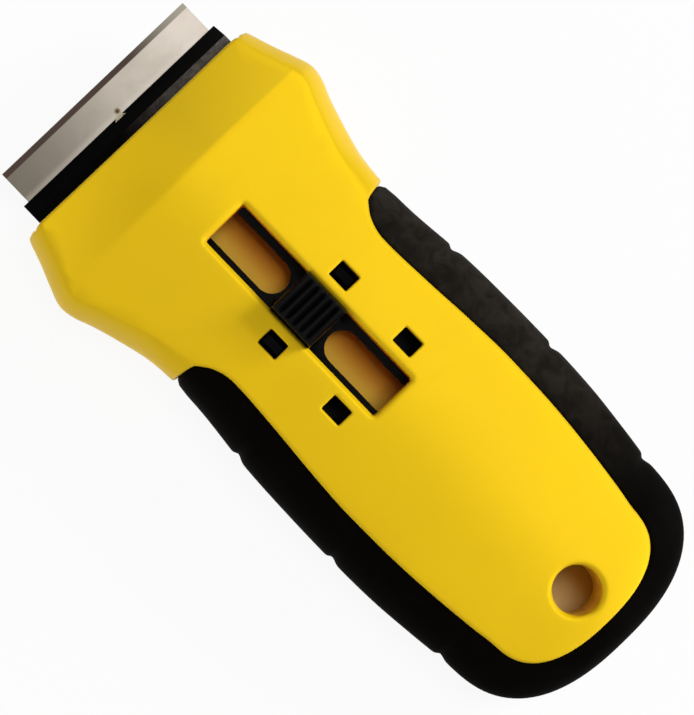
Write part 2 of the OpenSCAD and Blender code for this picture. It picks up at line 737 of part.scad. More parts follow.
upper_shell();
lower_shell();
upper_grip();
lower_grip();
shell_screws();
blade_slide();
latch_spring();
holder_base();
holder_rivets();
locating_stud();
razor_blade();
blade_spine();
hinge_pin();
jaw_spring();
clamp_jaw();
thumb_pad();
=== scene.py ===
"""Razor blade scraper: moulded handle, rubber flanks, sliding blade holder and studio."""

import json
import logging
import math
from dataclasses import dataclass, field
from enum import Enum
from typing import Callable, Sequence

import bmesh
import bpy
import numpy as np
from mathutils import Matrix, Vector, kdtree
from mathutils.geometry import delaunay_2d_cdt

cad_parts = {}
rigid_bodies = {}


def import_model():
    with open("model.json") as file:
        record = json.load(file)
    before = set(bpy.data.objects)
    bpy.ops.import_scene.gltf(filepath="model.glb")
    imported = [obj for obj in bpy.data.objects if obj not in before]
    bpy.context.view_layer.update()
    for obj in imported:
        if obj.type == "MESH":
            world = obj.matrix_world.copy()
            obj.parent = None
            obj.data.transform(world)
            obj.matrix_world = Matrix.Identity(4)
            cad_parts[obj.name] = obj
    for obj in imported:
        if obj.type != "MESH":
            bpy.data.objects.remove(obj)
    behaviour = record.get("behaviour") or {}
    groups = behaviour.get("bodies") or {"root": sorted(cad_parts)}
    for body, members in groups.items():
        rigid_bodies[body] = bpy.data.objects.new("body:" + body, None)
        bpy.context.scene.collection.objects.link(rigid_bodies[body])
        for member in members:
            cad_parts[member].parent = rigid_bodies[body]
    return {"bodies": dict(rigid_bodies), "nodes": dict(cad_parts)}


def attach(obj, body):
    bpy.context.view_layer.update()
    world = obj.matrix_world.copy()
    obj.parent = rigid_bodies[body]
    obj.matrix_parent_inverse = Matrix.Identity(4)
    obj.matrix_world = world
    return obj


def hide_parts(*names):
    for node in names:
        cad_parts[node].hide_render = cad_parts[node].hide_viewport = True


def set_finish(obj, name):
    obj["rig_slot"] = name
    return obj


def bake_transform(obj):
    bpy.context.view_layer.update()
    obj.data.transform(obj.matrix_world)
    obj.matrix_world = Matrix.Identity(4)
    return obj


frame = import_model()
LOG = logging.getLogger("scraper")
MM = 0.001
TINY = 1e-12
HAIR = 1e-6
QUARTER_TURN = math.pi / 2
MIRROR = (-1, 1)
SIDES = (-1, 1)
Array = np.ndarray
Piece = bpy.types.Object
Node = bpy.types.Node
Socket = bpy.types.NodeSocket
Tree = bpy.types.NodeTree
Pair = tuple[float, float]
Triple = tuple[float, float, float]
Table = tuple[Pair, ...]
Faces = list[tuple[int, ...]]
PlanMap = Callable[[Array], Array]


class Half(Enum):
    """The two shells of the handle, as the direction that each faces."""

    UPPER = 1
    LOWER = -1


class Cut(Enum):
    """What a tool does to the body that it meets."""

    ADD = "UNION"
    REMOVE = "DIFFERENCE"


def curve_through(table: Table, x: Array) -> Array:
    """Reads a smooth curve through the points of a table.

    Args:
        table: Points as pairs of place and value, in rising order of place.
        x: Places to read.

    Returns:
        The value at each place.
    """
    xs, ys = np.array(table, float).T
    x = np.clip(np.asarray(x, float), xs[0], xs[-1])
    i = np.clip(np.searchsorted(xs, x, side="right") - 1, 0, len(xs) - 2)
    index = np.arange(len(xs))
    before, after = np.maximum(index - 1, 0), np.minimum(index + 1, len(xs) - 1)
    slopes = (ys[after] - ys[before]) / (xs[after] - xs[before])
    h = xs[i + 1] - xs[i]
    u = (x - xs[i]) / h
    start = (2 * u**3 - 3 * u**2 + 1) * ys[i] + (u**3 - 2 * u**2 + u) * slopes[i] * h
    end = (3 * u**2 - 2 * u**3) * ys[i + 1] + (u**3 - u**2) * slopes[i + 1] * h
    return start + end


def smooth_step(low: float, high: float, x: Array) -> Array:
    """Rises smoothly from 0 at low to 1 at high, which may be below low."""
    u = np.clip((np.asarray(x, float) - low) / (high - low), 0, 1)
    return u * u * (3 - 2 * u)


def rim_drop(distance: Array, radius: float) -> Array:
    """Depth of a rounded rim below the surface it rounds, at a distance from its edge."""
    left = radius - np.clip(distance, 0, radius)
    return radius - np.sqrt(np.maximum(radius**2 - left**2, 0))


def unit(vectors: Array) -> Array:
    """Scales each row to length one, and leaves a row of zeros as it is."""
    return vectors / np.maximum(np.linalg.norm(vectors, axis=1, keepdims=True), TINY)


def both_sides(side: Array) -> Array:
    """A line from its left end to its right end, from the right-hand side of it."""
    return np.vstack([(side * MIRROR)[:0:-1], side])


def normals_of(line: Array, closed: bool) -> Array:
    """Left-hand normals at the points of a plan line.

    Args:
        line: Points of the line.
        closed: Whether the last point runs on to the first.

    Returns:
        One unit normal per point.
    """
    if closed:
        along = np.roll(line, -1, 0) - np.roll(line, 1, 0)
    else:
        along = np.gradient(line, axis=0)
    along = unit(along)
    return np.stack([-along[:, 1], along[:, 0]], 1)


def resample(line: Array, spacing: PlanMap) -> Array:
    """Spreads points along a line.

    Args:
        line: Dense points of the line.
        spacing: Gives the wished spacing at each dense point.

    Returns:
        New points on the line, both ends kept.
    """
    steps = np.linalg.norm(np.diff(line, axis=0), axis=1)
    middle = (line[1:] + line[:-1]) / 2
    along = np.concatenate([[0], np.cumsum(steps / spacing(middle))])
    wanted = np.linspace(0, along[-1], max(2, int(round(along[-1])) + 1))
    return np.stack([np.interp(wanted, along, line[:, k]) for k in (0, 1)], 1)


def even(step: float) -> PlanMap:
    """A spacing that is the same everywhere."""
    return lambda points: np.full(len(points), step)


def distance_to(points: Array, line: Array) -> Array:
    """Distance from each plan point to a plan line.

    Args:
        points: Points to measure.
        line: Points of the line.

    Returns:
        The distances.
    """
    chunk, least = 1500, 1e-18
    a, along = line[:-1], np.diff(line, axis=0)
    length2 = np.maximum((along**2).sum(1), least)
    found = []
    for k in range(0, len(points), chunk):
        p = points[k:k + chunk, None]
        t = np.clip(((p - a) * along).sum(2) / length2, 0, 1)
        found.append(np.linalg.norm(p - a - t[..., None] * along, axis=2).min(1))
    return np.concatenate(found) if found else np.zeros(0)


def inside(points: Array, loops: Sequence[Array]) -> Array:
    """Whether each point lies within the outer loop and outside the holes.

    Args:
        points: Points to test.
        loops: Closed loops, each hole inside the first.

    Returns:
        One truth value per point.
    """
    odd = np.zeros(len(points), bool)
    x, y = points[:, :1], points[:, 1:]
    for loop in loops:
        a, b = loop, np.roll(loop, -1, 0)
        rise = np.where(b[:, 1] == a[:, 1], TINY, b[:, 1] - a[:, 1])
        crosses = (a[:, 1] > y) != (b[:, 1] > y)
        left = x < a[:, 0] + (y - a[:, 1]) / rise * (b[:, 0] - a[:, 0])
        odd ^= (np.sum(crosses & left, axis=1) % 2).astype(bool)
    return odd


@dataclass(frozen=True)
class Rim:
    """An edge in plan that is rounded, with the sheet on its left."""

    points: Array
    radius: float
    closed: bool = False

    def line(self) -> Array:
        """The edge, with its first point repeated where it closes."""
        return np.vstack([self.points, self.points[:1]]) if self.closed else self.points

    def rows(self, steps: int) -> list[Array]:
        """Rows of points beside the edge, closer where the rim is steep.

        Args:
            steps: Number of rows within the radius.

        Returns:
            The rows.
        """
        flat_share, clear_share = 1.5, 0.97
        normal = normals_of(self.points, self.closed)
        turns = np.arange(1, steps + 1) * math.pi / 2 / steps
        found = []
        for offset in self.radius * np.append(1 - np.cos(turns), flat_share):
            row = self.points + normal * offset
            found.append(row[distance_to(row, self.line()) > offset * clear_share])
        return found


def rims_depth(points: Array, rims: Sequence[Rim]) -> Array:
    """Depth of the deepest of several rounded rims at each plan point."""
    return np.max([rim_drop(distance_to(points, rim.line()), rim.radius) for rim in rims], axis=0)


@dataclass
class Sheet:
    """A curved sheet over a plan, closed to a body by walls down to a flat plane.

    The first loop is its outline, and the others are holes in it.
    """

    loops: list[Array]
    height: PlanMap
    plane_z: float
    rims: list[Rim] = field(default_factory=list)
    rows: list[Array] = field(default_factory=list)
    rings: list[Array] = field(default_factory=list)
    depth: PlanMap | None = None
    grid: float = 1.6
    rim_steps: int = 5
    row_gap: float = 0.02
    ring_gap: float = 0.4
    grid_gap_share: float = 0.62

    def _grid_points(self) -> Array:
        """An even hexagonal grid over the plan.

        Returns:
            Its points, some of them outside the outline.
        """
        low, high = self.loops[0].min(0), self.loops[0].max(0)
        row_step = self.grid * math.sqrt(3) / 2
        count = int((high[1] - low[1]) / row_step)
        rows = []
        for k in range(1, count + 1):
            xs = np.arange(low[0] + self.grid * (k % 2) / 2, high[0], self.grid)
            rows.append(np.stack([xs, np.full(len(xs), low[1] + k * row_step)], 1))
        return np.vstack(rows)

    def _points(self) -> Array:
        """All points of the sheet between its loops, none crowding another.

        Returns:
            The points, those of the loops first.
        """
        crowd = [p for rim in self.rims for p in rim.points]
        rows = [row for rim in self.rims for row in rim.rows(self.rim_steps)] + self.rows
        accepted = [thin(row[inside(row, self.loops)], crowd, self.row_gap) for row in rows]
        crowd = crowd + [p for row in accepted for p in row]
        accepted += [thin(row[inside(row, self.loops)], crowd, self.ring_gap) for row in self.rings]
        crowd = [p for group in [*self.loops, *accepted] for p in group]
        grid = self._grid_points()
        accepted.append(thin(grid[inside(grid, self.loops)], crowd, self.grid_gap_share * self.grid))
        return np.vstack([*self.loops, *accepted])

    def mesh(self) -> tuple[Array, Faces]:
        """Builds the closed body.

        Returns:
            Its vertices in millimetres, and its faces.
        """
        weld = 1e-7
        edges, start = [], 0
        for loop in self.loops:
            n = len(loop)
            edges += [(start + k, start + (k + 1) % n) for k in range(n)]
            start += n
        made = delaunay_2d_cdt([Vector(p) for p in self._points()], edges, [], 0, weld, False)
        plan = np.array([tuple(v) for v in made[0]])
        faces = np.array([tuple(f) for f in made[2] if len(f) == 3])
        faces = faces[inside(plan[faces].mean(1), self.loops)]
        a, b, c = plan[faces[:, 0]], plan[faces[:, 1]], plan[faces[:, 2]]
        turn = (b[:, 0] - a[:, 0]) * (c[:, 1] - a[:, 1]) - (b[:, 1] - a[:, 1]) * (c[:, 0] - a[:, 0])
        faces[turn < 0] = faces[turn < 0][:, ::-1]
        return self._closed(plan, faces)

    def _closed(self, plan: Array, faces: Array) -> tuple[Array, Faces]:
        """Lifts the plan to the sheet and closes it with walls and a flat face.

        Args:
            plan: Plan points.
            faces: Triangles, anticlockwise.

        Returns:
            The vertices and faces of the closed body.
        """
        z = self.height(plan)
        up = 1.0 if z.mean() > self.plane_z else -1.0
        surface = np.column_stack([plan, z])
        shared = np.abs(z - self.plane_z) < HAIR
        if self.depth is not None:
            surface = self._sunk(surface, faces, shared, up)
        below = surface.copy()
        below[:, 2] = self.plane_z
        n = len(plan)
        twin = np.where(shared, np.arange(n), np.arange(n) + n)
        top = [tuple(f) if up > 0 else tuple(f[::-1]) for f in faces]
        standing = [f for f in top if not all(shared[v] for v in f)]
        flat = [tuple(twin[k] for k in reversed(f)) for f in standing]
        return np.vstack([surface, below]), standing + flat + self._walls(top, twin)

    def _sunk(self, surface: Array, faces: Array, shared: Array, up: float) -> Array:
        """Sinks a surface by its depth, but never past the flat plane.

        Args:
            surface: The surface.
            faces: Triangles, anticlockwise.
            shared: Which points lie on the flat plane, where they stay.
            up: 1 where the surface lies above the plane, and -1 below it.

        Returns:
            The sunk surface.
        """
        normal = face_normals(surface, faces) * up
        level = normal * (1, 1, 0)
        normal[shared] = unit(level)[shared]
        surface = surface - normal * self.depth(surface[:, :2])[:, None]
        surface[shared, 2] = self.plane_z
        bound = np.maximum if up > 0 else np.minimum
        surface[:, 2] = bound(surface[:, 2], self.plane_z)
        return surface

    @staticmethod
    def _walls(top: Faces, twin: Array) -> Faces:
        """Faces from the open edges of a sheet to the flat plane.

        Args:
            top: Triangles of the sheet.
            twin: The point on the plane below each point of the sheet.

        Returns:
            The faces; one that has shrunk to a line is left out.
        """
        edges = dict.fromkeys((f[k], f[(k + 1) % 3]) for f in top for k in range(3))
        walls = []
        for i, j in edges:
            if (j, i) not in edges:
                wall = [j, i, twin[i], twin[j]]
                kept = [v for k, v in enumerate(wall) if v != wall[k - 1]]
                if len(set(kept)) > 2:
                    walls.append(tuple(dict.fromkeys(kept)))
        return walls


def face_normals(surface: Array, faces: Array) -> Array:
    """Unit normals at the vertices of a triangle sheet.

    Args:
        surface: Vertices.
        faces: Triangles, anticlockwise seen from above.

    Returns:
        One normal per vertex, pointing up.
    """
    a, b, c = surface[faces[:, 0]], surface[faces[:, 1]], surface[faces[:, 2]]
    weight = np.cross(b - a, c - a)
    total = np.zeros_like(surface)
    for k in range(3):
        np.add.at(total, faces[:, k], weight)
    return unit(total)


def thin(points: Array, crowd: Sequence[Array], gap: float) -> Array:
    """Drops the points that lie too near to others.

    Args:
        points: Points to thin.
        crowd: Points to keep clear of.
        gap: Least distance.

    Returns:
        The points that are left.
    """
    if not len(crowd) or not len(points):
        return points
    tree = kdtree.KDTree(len(crowd))
    for k, p in enumerate(crowd):
        tree.insert((p[0], p[1], 0), k)
    tree.balance()
    far = [tree.find((p[0], p[1], 0))[2] >= gap for p in points]
    return points[np.array(far, bool)]


def rounded_box(cx: float, cy: float, width: float, length: float, radius: float, step: float) -> Array:
    """A rectangle in plan with round corners, clockwise.

    Args:
        cx: Middle, across.
        cy: Middle, along.
        width: Size across.
        length: Size along.
        radius: Radius of the corners.
        step: Spacing of the points on the straight sides.

    Returns:
        Its points.
    """
    arc_steps = 4
    corners = [(1, 1), (1, -1), (-1, -1), (-1, 1)]
    middles = [(cx + sx * (width / 2 - radius), cy + sy * (length / 2 - radius)) for sx, sy in corners]
    points: list[Pair] = []
    for k, (mx, my) in enumerate(middles):
        for i in range(arc_steps + 1):
            a = QUARTER_TURN - QUARTER_TURN * (k + i / arc_steps)
            points.append((mx + radius * math.cos(a), my + radius * math.sin(a)))
        nx, ny = middles[(k + 1) % len(middles)]
        turn = QUARTER_TURN - QUARTER_TURN * (k + 1)
        end = (nx + radius * math.cos(turn), ny + radius * math.sin(turn))
        last = points[-1]
        side = max(1, int(math.dist(last, end) / step))
        points += [tuple(np.array(last) + (np.array(end) - last) * i / side) for i in range(1, side)]
    return np.array(points)


def ring(cx: float, cy: float, radius: float, count: int) -> Array:
    """A circle in plan round a middle, clockwise, with a number of points."""
    a = -np.arange(count) / count * 2 * math.pi
    return np.stack([cx + radius * np.cos(a), cy + radius * np.sin(a)], 1)


@dataclass(frozen=True)
class HandleForm:
    """Outer form of the handle in millimetres, close to that of the frame's shells."""

    length: float = 110.0
    tail_y: float = -60.0
    mouth_half: float = 23.6
    body_h: float = 17.0
    split_z: float = 7.4
    ramp_l: float = 10.4
    mouth_crown_z: float = 13.01
    mouth_keel_z: float = 2.54
    keel_l: float = 12.0
    sink: float = 0.5
    tail_l: float = 16.0
    tail_power: float = 2.5
    edge_power: float = 2.2
    head_power: float = 1.45
    head_shares: Pair = (0.72, 0.8)
    heel_w: float = 5.0
    roof_tilt: float = 0.17
    roof_r: float = 5.0
    ramp_rim: float = 0.35
    base_rim: float = 0.35
    grip_t: float = 1.5
    wall: float = 2.8
    seam_in: float = 4.5
    seam_tail_l: float = 9.5
    least_w: float = 0.6
    plan: Table = ((0, 0.93), (0.145, 0.945), (0.212, 0.979), (0.283, 1.012), (0.354, 1.025),
                   (0.45, 1.025), (0.552, 1.009), (0.651, 0.965), (0.715, 0.96), (0.757, 0.978),
                   (0.8, 1.027), (0.845, 1.09), (0.875, 1.143), (0.899, 1.157), (0.925, 1.118),
                   (0.96, 1.055), (1, 0.993))
    seam: Table = ((0, 0.63), (0.127, 0.644), (0.169, 0.671), (0.24, 0.708), (0.311, 0.733),
                   (0.382, 0.742), (0.425, 0.742), (0.495, 0.724), (0.566, 0.699), (0.651, 0.682),
                   (0.677, 0.708), (0.696, 0.764), (0.707, 0.848), (0.7145, 1.2))
    crown: Table = ((0, 0.83), (0.09, 0.862), (0.22, 0.955), (0.364, 1), (0.636, 1), (0.91, 0.965))
    flank: Table = ((0, 0.36), (0.5, 0.36), (0.65, 0.3), (0.76, 0.16), (0.9, 0.12), (1, 0.12))

    @property
    def mouth_y(self) -> float:
        """Place of the mouth."""
        return self.tail_y + self.length

    @property
    def ramp_y(self) -> float:
        """Place of the ramp's upper edge."""
        return self.mouth_y - self.ramp_l

    def share(self, y: Array) -> Array:
        """Share of the handle's length at y."""
        return (np.asarray(y, float) - self.tail_y) / self.length

    def _traced(self, table: Table, start_y: float, tail_l: float, count: int, step: float,
                end: Array) -> Array:
        """Right-hand side of a line in plan whose rear end is rounded.

        Args:
            table: Half width along the handle, as a share of the mouth's.
            start_y: Where the line crosses the middle.
            tail_l: Length of the rounded end.
            count: Number of points round it.
            step: Spacing of the points after it.
            end: Places of the last points.

        Returns:
            Dense points.
        """
        turn = np.linspace(0, QUARTER_TURN, count)[1:]
        tail_ys = start_y + tail_l * (1 - np.cos(turn) ** (2 / self.tail_power))
        ys = np.concatenate([tail_ys, np.arange(tail_ys[-1] + step, end[0], step), end])
        rounds = np.concatenate([np.sin(turn) ** (2 / self.tail_power), np.ones(len(ys) - len(tail_ys))])
        xs = self.mouth_half * curve_through(table, self.share(ys)) * rounds
        return np.vstack([[0, start_y], np.stack([xs, ys], 1)])

    def side(self, inset: float = 0.0, end_y: float | None = None) -> Array:
        """Right-hand outline in plan, from the tip of the tail forward.

        Args:
            inset: Distance inward.
            end_y: Where it stops; the mouth if not given.

        Returns:
            Dense points.
        """
        past, tail_points, step, back = 6.0, 90, 0.3, 4
        line = self._traced(self.plan, self.tail_y, self.tail_l, tail_points, step, np.array([self.mouth_y]))
        slope = (line[-1] - line[-back]) / (line[-1, 1] - line[-back, 1])
        line = np.vstack([line, line[-1] + slope * past])
        if inset:
            normal = normals_of(line, False)
            normal[0] = (0, 1)
            line = line + normal * inset
        end_y = self.mouth_y if end_y is None else end_y
        front = line[line[:, 1] > 0]
        stop = np.array([np.interp(end_y, front[:, 1], front[:, 0]), end_y])
        return np.vstack([line[line[:, 1] < end_y - HAIR], stop])

    def seam_side(self) -> Array:
        """Right-hand seam between plastic and rubber, from its tail end to the outline.

        Returns:
            Dense points, the last of them on the outline.
        """
        tail_points, step, fine_l, fine_points = 80, 0.1, 2, 200
        last = self.tail_y + self.seam[-1][0] * self.length
        end = np.linspace(last - fine_l, last, fine_points)
        line = self._traced(self.seam, self.tail_y + self.seam_in, self.seam_tail_l, tail_points, step, end)
        out = self.side()
        limit = np.interp(line[:, 1], out[:, 1], out[:, 0])
        stop = int(np.argmax((line[:, 0] > limit) & (line[:, 1] > 0)))
        a, b = line[stop - 1], line[stop]
        u = (limit[stop - 1] - a[0]) / ((b[0] - a[0]) - (limit[stop] - limit[stop - 1]))
        return np.vstack([line[:stop], a + (b - a) * u])

    def edge_distance(self, points: Array) -> Array:
        """Distance in plan from the outline, the mouth left out.

        Args:
            points: Plan points.

        Returns:
            The distances.
        """
        past = 3
        side = self.side(0, self.mouth_y + past)
        line = np.vstack([(side * MIRROR)[::-1], side[1:]])
        return distance_to(points, line)

    def _ridge(self, y: Array) -> Array:
        """Height of the top's middle line, with a sharp edge at the ramp.

        Args:
            y: Places along the handle.

        Returns:
            The heights.
        """
        flat = self.body_h * curve_through(self.crown, self.share(y))
        foot = self.body_h * curve_through(self.crown, self.share(np.array(self.ramp_y)))
        u = np.clip((y - self.ramp_y) / self.ramp_l, 0, None)
        return np.where(y < self.ramp_y, flat, foot + (self.mouth_crown_z - foot) * u)

    def crest(self, points: Array) -> Array:
        """Height of the top before its sides roll over: a shallow roof with a round ridge.

        Args:
            points: Plan points.

        Returns:
            The heights.
        """
        x, y = points.T
        r = self.ramp_rim
        height = (self._ridge(y - r) + 2 * self._ridge(y) + self._ridge(y + r)) / 4
        fade = 1 - np.clip((y - self.ramp_y) / self.ramp_l, 0, 1)
        return height - self.roof_tilt * (np.sqrt(x**2 + self.roof_r**2) - self.roof_r) * fade

    def surface(self, half: Half) -> Callable[..., Array]:
        """The height function of one shell's outer surface."""
        return self.top if half is Half.UPPER else self.low

    def top(self, points: Array, inset: float = 0.0) -> Array:
        """Height of the upper surface over plan points.

        Args:
            points: Plan points.
            inset: How far the surface lies inside the outer one.

        Returns:
            The heights.
        """
        share = self.share(points[:, 1])
        flank = np.maximum(self.mouth_half * curve_through(self.flank, share) - inset, self.least_w)
        head = smooth_step(*self.head_shares, share)
        power = self.edge_power + (self.head_power - self.edge_power) * head
        roll = self._roll(self.edge_distance(points) - inset, flank, power)
        return self.split_z + (self.crest(points) - inset - self.split_z) * roll

    def low(self, points: Array, inset: float = 0.0) -> Array:
        """Height of the lower surface over plan points, flat where it stands.

        Args:
            points: Plan points.
            inset: How far the surface lies inside the outer one.

        Returns:
            The heights.
        """
        y = points[:, 1]
        u = np.clip((y - self.mouth_y + self.keel_l) / self.keel_l, 0, None)
        keel = -self.sink + (self.mouth_keel_z + self.sink) * u + inset
        heel = max(self.heel_w - inset / 2, self.least_w)
        roll = self._roll(self.edge_distance(points) - inset, heel, self.edge_power)
        z = self.split_z + (keel - self.split_z) * roll
        if inset:
            return np.maximum(z, inset - self.sink)
        r = self.base_rim
        return np.where(z < r, np.maximum(0, (z + r) ** 2 / (4 * r) * (z > -r)), z)

    @staticmethod
    def _roll(distance: Array, width: Array | float, power: Array | float) -> Array:
        """Share of the height reached at a distance from the outline; a low power gives a flat bevel."""
        q = np.clip(1 - distance / width, 0, 1)
        return (1 - q**power) ** (1 / power)

    def rings(self, half: Half, start: Array, steps: int = 14, inset: float = 0.0) -> list[Array]:
        """Rows of plan points beside the outline, closer where the surface is steep.

        Args:
            half: Which surface they serve.
            start: Right-hand outline points that the rows follow.
            steps: Number of rows.
            inset: How far the surface lies inside the outer one.

        Returns:
            The rows, on both sides.
        """
        on_middle = 1e-9
        line = both_sides(start)
        inward = normals_of(line, False)
        inward[np.abs(line[:, 0]) < on_middle] = (0, 1)
        if half is Half.UPPER:
            width = self.mouth_half * curve_through(self.flank, self.share(line[:, 1]))
        else:
            width = np.full(len(line), self.heel_w)
        width = np.maximum(width - inset, self.least_w)
        shares = [1 - math.cos(QUARTER_TURN * k / steps) for k in range(1, steps + 1)]
        return [line + inward * (width * share)[:, None] for share in shares]


def mirrored(side: Array) -> Array:
    """A closed anticlockwise loop from its right-hand side, which starts on the middle line."""
    return np.vstack([side, (side * MIRROR)[:0:-1]])


def placed(name: str, data: bpy.types.ID) -> Piece:
    """Makes an object and links it to the scene.

    Args:
        name: Name of the object.
        data: Its mesh, lamp or camera.

    Returns:
        The object.
    """
    made = bpy.data.objects.new(name, data)
    bpy.context.scene.collection.objects.link(made)
    return made


def new_piece(name: str, verts: Array, faces: Sequence[Sequence[int]], scale: float = MM) -> Piece:
    """Makes a mesh object.

    Args:
        name: Name of the piece.
        verts: Vertices, in millimetres unless scale says otherwise.
        faces: Faces.
        scale: Metres per unit.

    Returns:
        The new object, linked to the scene.
    """
    mesh = bpy.data.meshes.new(name)
    places = [tuple(v * scale) for v in np.asarray(verts, float)]
    mesh.from_pydata(places, [], [tuple(map(int, f)) for f in faces])
    return placed(name, mesh)


def tidy_mesh(piece: Piece, sharp_deg: float = 38.0, weld: float = 0.004) -> Piece:
    """Welds a mesh, turns its faces outward and marks its sharp edges.

    Args:
        piece: The piece.
        sharp_deg: Angle between faces from which an edge is sharp.
        weld: Distance in millimetres below which vertices are one.

    Returns:
        The same piece.
    """
    finer = 10
    bm = bmesh.new()
    bm.from_mesh(piece.data)
    bmesh.ops.remove_doubles(bm, verts=bm.verts, dist=weld * MM)
    bmesh.ops.dissolve_degenerate(bm, edges=bm.edges, dist=weld * MM / finer)
    loose = [v for v in bm.verts if not v.link_faces]
    bmesh.ops.delete(bm, geom=loose, context="VERTS")
    bmesh.ops.recalc_face_normals(bm, faces=bm.faces)
    for face in bm.faces:
        face.smooth = True
    for edge in bm.edges:
        edge.smooth = edge.calc_face_angle(math.pi) < math.radians(sharp_deg)
    bm.to_mesh(piece.data)
    bm.free()
    return piece


def block(name: str, x: Pair, y: Pair, z: Pair) -> Piece:
    """A plain box used to cut or fill a body.

    Args:
        name: Name of the tool.
        x: Where it starts and ends across, in millimetres.
        y: Where it starts and ends along the handle.
        z: Where it starts and ends upward.

    Returns:
        The box.
    """
    verts = [(px, py, pz) for px in x for py in y for pz in z]
    faces = [(0, 1, 3, 2), (4, 6, 7, 5), (0, 4, 5, 1), (2, 3, 7, 6), (0, 2, 6, 4), (1, 5, 7, 3)]
    return new_piece(name, np.array(verts), faces)


def block_pair(name: str, x: Pair, y: Pair, z: Pair) -> list[Piece]:
    """A plain box on the right, and its twin on the left."""
    return [block(name, tuple(sorted(side * edge for edge in x)), y, z) for side in SIDES]


def ring_faces(rings: int, count: int) -> Faces:
    """Faces of a closed body made of rings with the same number of points.

    Args:
        rings: Number of rings.
        count: Points in each.

    Returns:
        The faces: one end, the sides and the other end.
    """
    faces: Faces = [tuple(reversed(range(count)))]
    for k in range(rings - 1):
        here, there = k * count, (k + 1) * count
        faces += [(here + i, here + (i + 1) % count, there + (i + 1) % count, there + i)
                  for i in range(count)]
    return [*faces, tuple((rings - 1) * count + i for i in range(count))]


def turned(name: str, profile: Sequence[Pair], centre: Sequence[float], axis: str = "Z",
           count: int = 48) -> Piece:
    """A closed turned body.

    Args:
        name: Name of the piece.
        profile: Radius and height of each ring, from one end to the other.
        centre: Origin of the heights.
        axis: Axis that it turns about.
        count: Points round a ring.

    Returns:
        The body.
    """
    angles = np.arange(count) / count * 2 * math.pi
    verts = np.array([(r * math.cos(a), r * math.sin(a), h) for r, h in profile for a in angles])
    if axis == "X":
        verts = verts[:, [2, 0, 1]]
    return new_piece(name, verts + np.array(centre, float), ring_faces(len(profile), count))


def settled(piece: Piece) -> Piece:
    """Applies the modifiers of a piece.

    Args:
        piece: The piece.

    Returns:
        The same piece with its new mesh.
    """
    bpy.context.view_layer.update()
    graph = bpy.context.evaluated_depsgraph_get()
    mesh = bpy.data.meshes.new_from_object(piece.evaluated_get(graph))
    piece.modifiers.clear()
    piece.data = mesh
    return piece


def apply_tools(body: Piece, tools: Sequence[Piece], cut: Cut) -> Piece:
    """Adds tools to a body or cuts them out of it, and deletes the tools.

    Args:
        body: The body.
        tools: The tools.
        cut: What they do.

    Returns:
        The same body with its new mesh.
    """
    for tool in tools:
        step = body.modifiers.new("tool", "BOOLEAN")
        step.operation = cut.value
        step.solver = "MANIFOLD"
        step.object = tool
    settled(body)
    for tool in tools:
        bpy.data.objects.remove(tool)
    return body


def joined(name: str, parts: Sequence[Piece]) -> Piece:
    """Joins separate bodies into one object.

    Args:
        name: Name of the result.
        parts: The bodies, which are deleted.

    Returns:
        The joined object.
    """
    bm = bmesh.new()
    for part in parts:
        bm.from_mesh(part.data)
        bpy.data.objects.remove(part)
    mesh = bpy.data.meshes.new(name)
    bm.to_mesh(mesh)
    bm.free()
    return placed(name, mesh)


